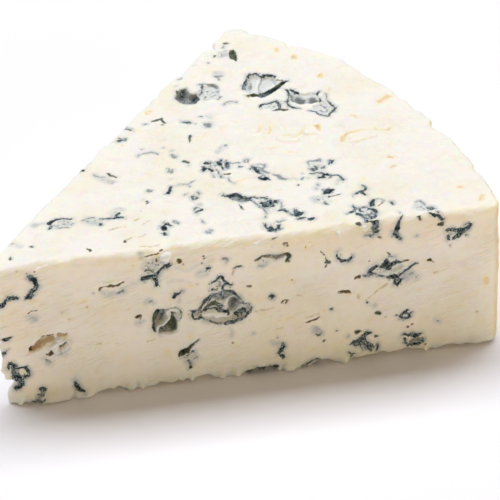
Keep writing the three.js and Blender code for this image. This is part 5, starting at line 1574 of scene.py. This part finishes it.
    def _haze(self, under: bpy.types.Node) -> bpy.types.Node:
        """Lays the blue-grey haze of fine mould that stains the paste round the marks.

        Args:
            under: The colour below.

        Returns:
            The node that gives the colour with the haze on it.
        """
        most = 0.0
        for tint, end, full, strength in self.hazes:
            share = self._add("MapRange", self.gap[tint], end, full, 0.0, strength, **SOFT)
            most = self._add("Math", most, share, operation="MAXIMUM")
        patchy = self._add("MapRange", self.noise[Pattern.HAZE_PATCH], 0.3, 0.68, 0.25, 1.0, **SOFT)
        share = self._add("Math", most, patchy, operation="MULTIPLY")
        deep = self._add("MapRange", self.gap[Tint.DARK], 0.7, 0.0, 0.0, 1.0, **SOFT)
        haze = self._add("Mix", deep, linear(self.haze), linear(self.haze_deep), data_type="RGBA")
        return self._add("Mix", share, under, haze, data_type="RGBA")

    def _stain(
        self,
        under: bpy.types.Node,
        gap: bpy.types.Node,
        look: Stain,
        thick: bpy.types.Node,
        tufts: bpy.types.Node,
    ) -> bpy.types.Node:
        """Lays one tint over a colour.

        Args:
            under: The colour below.
            gap: The distance to the tint's marks, in mm.
            look: The tint's look.
            thick: How thick the mould lies.
            tufts: Where down grows on it, from 0 to 1.

        Returns:
            The node that gives the colour with the tint on it.
        """
        edge, solid = look.growth + look.soft, look.growth - 0.6 * look.soft
        cover = self._add("MapRange", gap, edge, solid, 0.0, look.most, **SOFT)
        inward = self._add("MapRange", gap, look.growth + 0.1, look.growth - 0.16, 0.0, 0.8, **SOFT)
        share = self._add("Math", inward, thick, operation="MULTIPLY")
        tint = self._add("Mix", share, linear(look.rim), linear(look.core), data_type="RGBA")
        if look.fluff:
            begin = self._add("MapRange", gap, -0.02, -0.15, 0.0, look.fluff, **SOFT)
            end = self._add("MapRange", gap, -0.3, -0.45, look.fluff, 0.1, **SOFT)
            fluff = self._add("Math", begin, end, operation="MINIMUM")
            fluff = self._add("Math", fluff, tufts, operation="MULTIPLY")
            tint = self._add("Mix", fluff, tint, linear(self.down), data_type="RGBA")
        return self._add("Mix", cover, under, tint, data_type="RGBA")

    def _specks(self, under: bpy.types.Node) -> bpy.types.Node:
        """Lays dark specks of mould, which thin out away from the marks.

        Args:
            under: The colour below.

        Returns:
            The node that gives the colour with the specks on it.
        """
        bloom = self._add("Math", self.gap[Tint.BLOOM], 0.95, operation="ADD")
        grey = self._add("Math", self.gap[Tint.GREY], 0.45, operation="ADD")
        least = self._add("Math", bloom, grey, operation="MINIMUM")
        least = self._add("Math", least, self.gap[Tint.DARK], operation="MINIMUM")
        needed = self._add("MapRange", least, 0.0, 1.2, 0.55, 0.78)
        over = self._add("Math", self.noise[Pattern.SPECK], needed, operation="SUBTRACT")
        share = self._add("MapRange", over, 0.0, 0.09, 0.0, 0.75, **SOFT)
        return self._add("Mix", share, under, linear(self.speck), data_type="RGBA")

    def _dullness(self, fray: bpy.types.Node) -> bpy.types.Node:
        """Adds where dry mould hides the moist paste.

        Args:
            fray: What frays the marks' edges, in mm.

        Returns:
            The node that gives how dull and dense the surface is, from 0 to 0.8.
        """
        deep = self._add("Math", self.gap[Tint.DARK], self.gap[Tint.OLIVE], operation="MINIMUM")
        deep = self._add("Math", deep, self.gap[Tint.BROWN], operation="MINIMUM")
        deep = self._add("Math", deep, fray, operation="ADD")
        light = self._add("Math", self.gap[Tint.PALE], self.gap[Tint.FOLD], operation="MINIMUM")
        light = self._add("Math", self.gap[Tint.GREY], light, operation="MINIMUM")
        velvet = self._add("MapRange", deep, 0.1, -0.08, 0.0, 0.8, **SOFT)
        bloom = self._add("MapRange", light, 0.0, -0.2, 0.0, 0.45, **SOFT)
        return self._add("Math", velvet, bloom, operation="MAXIMUM")

    def _bump(self) -> bpy.types.Node:
        """Adds the paste's fine grain and the knife's drag marks as a bump.

        Returns:
            The node that gives the bumped normal.
        """
        patchy = self._add("MapRange", self.noise[Pattern.SCRATCH_DEEP], 0.42, 0.6, 0.0, 1.0, **SOFT)
        lines = self._add("Math", self.noise[Pattern.SCRATCH], patchy, operation="MULTIPLY")
        streaked = self._add("Bump", Height=lines, Strength=0.9, Distance=self.drag_bump * MM)
        crumb = self.noise[Pattern.CRUMB]
        return self._add("Bump", Height=crumb, Strength=0.7, Distance=self.crumb_bump * MM, Normal=streaked)


@dataclass(frozen=True)
class SoftLight:
    """A rectangular soft light: where it hangs and how large it is in metres, its power in watts and its colour."""

    name: str
    place: Place
    size: tuple[float, float]
    power: float
    colour: str

    def hang(self, target: Vector) -> None:
        """Hangs the light so that it faces a target.

        Args:
            target: The place that it faces, in metres.
        """
        data = bpy.data.lights.new(self.name, "AREA")
        data.shape = "RECTANGLE"
        data.size, data.size_y = self.size
        data.energy = self.power
        data.color = linear(self.colour)[:3]
        light = bpy.data.objects.new(self.name, data)
        light.location = self.place
        light.rotation_euler = (target - Vector(self.place)).to_track_quat("-Z", "Y").to_euler()
        bpy.context.collection.objects.link(light)


@dataclass
class Studio:
    """A pale floor, a large soft light from behind, a faint warm one in front, and the camera.

    Lengths are in metres and angles in degrees.
    """

    target: Place = (0.002892, -0.019751, 0.01648)
    azimuth: float = -9.226
    elevation: float = 34.653
    distance: float = 0.53966
    roll: float = -1.923
    lens: float = 196.0  # in mm
    sensor: float = 36.0  # in mm
    floor_size: float = 4.0
    floor_colour: str = "#f9f8fb"
    floor_roughness: float = 0.7
    key: SoftLight = SoftLight("key", (0.0, 0.63, 1.67), (3.0, 0.8), 48.5, "#f0f3fa")
    front_fill: SoftLight = SoftLight("front_fill", (0.5, -1.2, 0.24), (1.0, 0.7), 5.7, "#ffe5b9")
    world_colour: str = "#ffeedd"
    world_strength: float = 0.14

    def build(self) -> None:
        """Sets up the floor, the lights, the camera and the view's tone."""
        self._floor()
        for light in (self.key, self.front_fill):
            light.hang(Vector(self.target))
        world = bpy.data.worlds.new("studio")
        world.use_nodes = True
        background = world.node_tree.nodes["Background"]
        background.inputs["Color"].default_value = linear(self.world_colour)
        background.inputs["Strength"].default_value = self.world_strength
        bpy.context.scene.world = world
        bpy.context.scene.view_settings.view_transform = "Standard"
        self._camera()

    def _floor(self) -> None:
        """Lays the floor, a matt white card, at the wedge's underside."""
        bm = bmesh.new()
        bmesh.ops.create_grid(bm, x_segments=8, y_segments=8, size=self.floor_size / 2)
        mesh = bpy.data.meshes.new("studio_floor")
        bm.to_mesh(mesh)
        bm.free()
        floor = bpy.data.objects.new("studio_floor", mesh)
        bpy.context.collection.objects.link(floor)
        material = bpy.data.materials.new("white_card")
        material.use_nodes = True
        shader = material.node_tree.nodes["Principled BSDF"]
        shader.inputs["Base Color"].default_value = linear(self.floor_colour)
        shader.inputs["Roughness"].default_value = self.floor_roughness
        mesh.materials.append(material)

    def _camera(self) -> None:
        """Places the camera, which looks at the target from its azimuth and elevation."""
        turn, tilt = math.radians(self.azimuth), math.radians(self.elevation)
        back = Vector((math.sin(turn) * math.cos(tilt), -math.cos(turn) * math.cos(tilt), math.sin(tilt)))
        data = bpy.data.cameras.new("camera")
        data.lens = self.lens
        data.sensor_width = self.sensor
        data.sensor_fit = "HORIZONTAL"
        camera = bpy.data.objects.new("camera", data)
        stand = Matrix.Translation(Vector(self.target) + back * self.distance)
        aim = (-back).to_track_quat("-Z", "Y").to_matrix().to_4x4()
        camera.matrix_world = stand @ aim @ Matrix.Rotation(math.radians(self.roll), 4, "Z")
        bpy.context.collection.objects.link(camera)
        bpy.context.scene.camera = camera


def main() -> None:
    """Builds the studio and the cheese, and notes the sizes."""
    logging.basicConfig(level=logging.INFO, format="%(name)s: %(message)s")
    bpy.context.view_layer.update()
    Studio().build()
    wedge = CheeseWedge().build()
    wedge.data.materials.clear()
    wedge.data.materials.append(BlueCheesePaste().make())
    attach(wedge, "root")
    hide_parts(NODE)
    wedge.data.calc_loop_triangles()
    log.info("%s: %d triangles", wedge.name, len(wedge.data.loop_triangles))


if __name__ == "__main__":
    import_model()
    main()
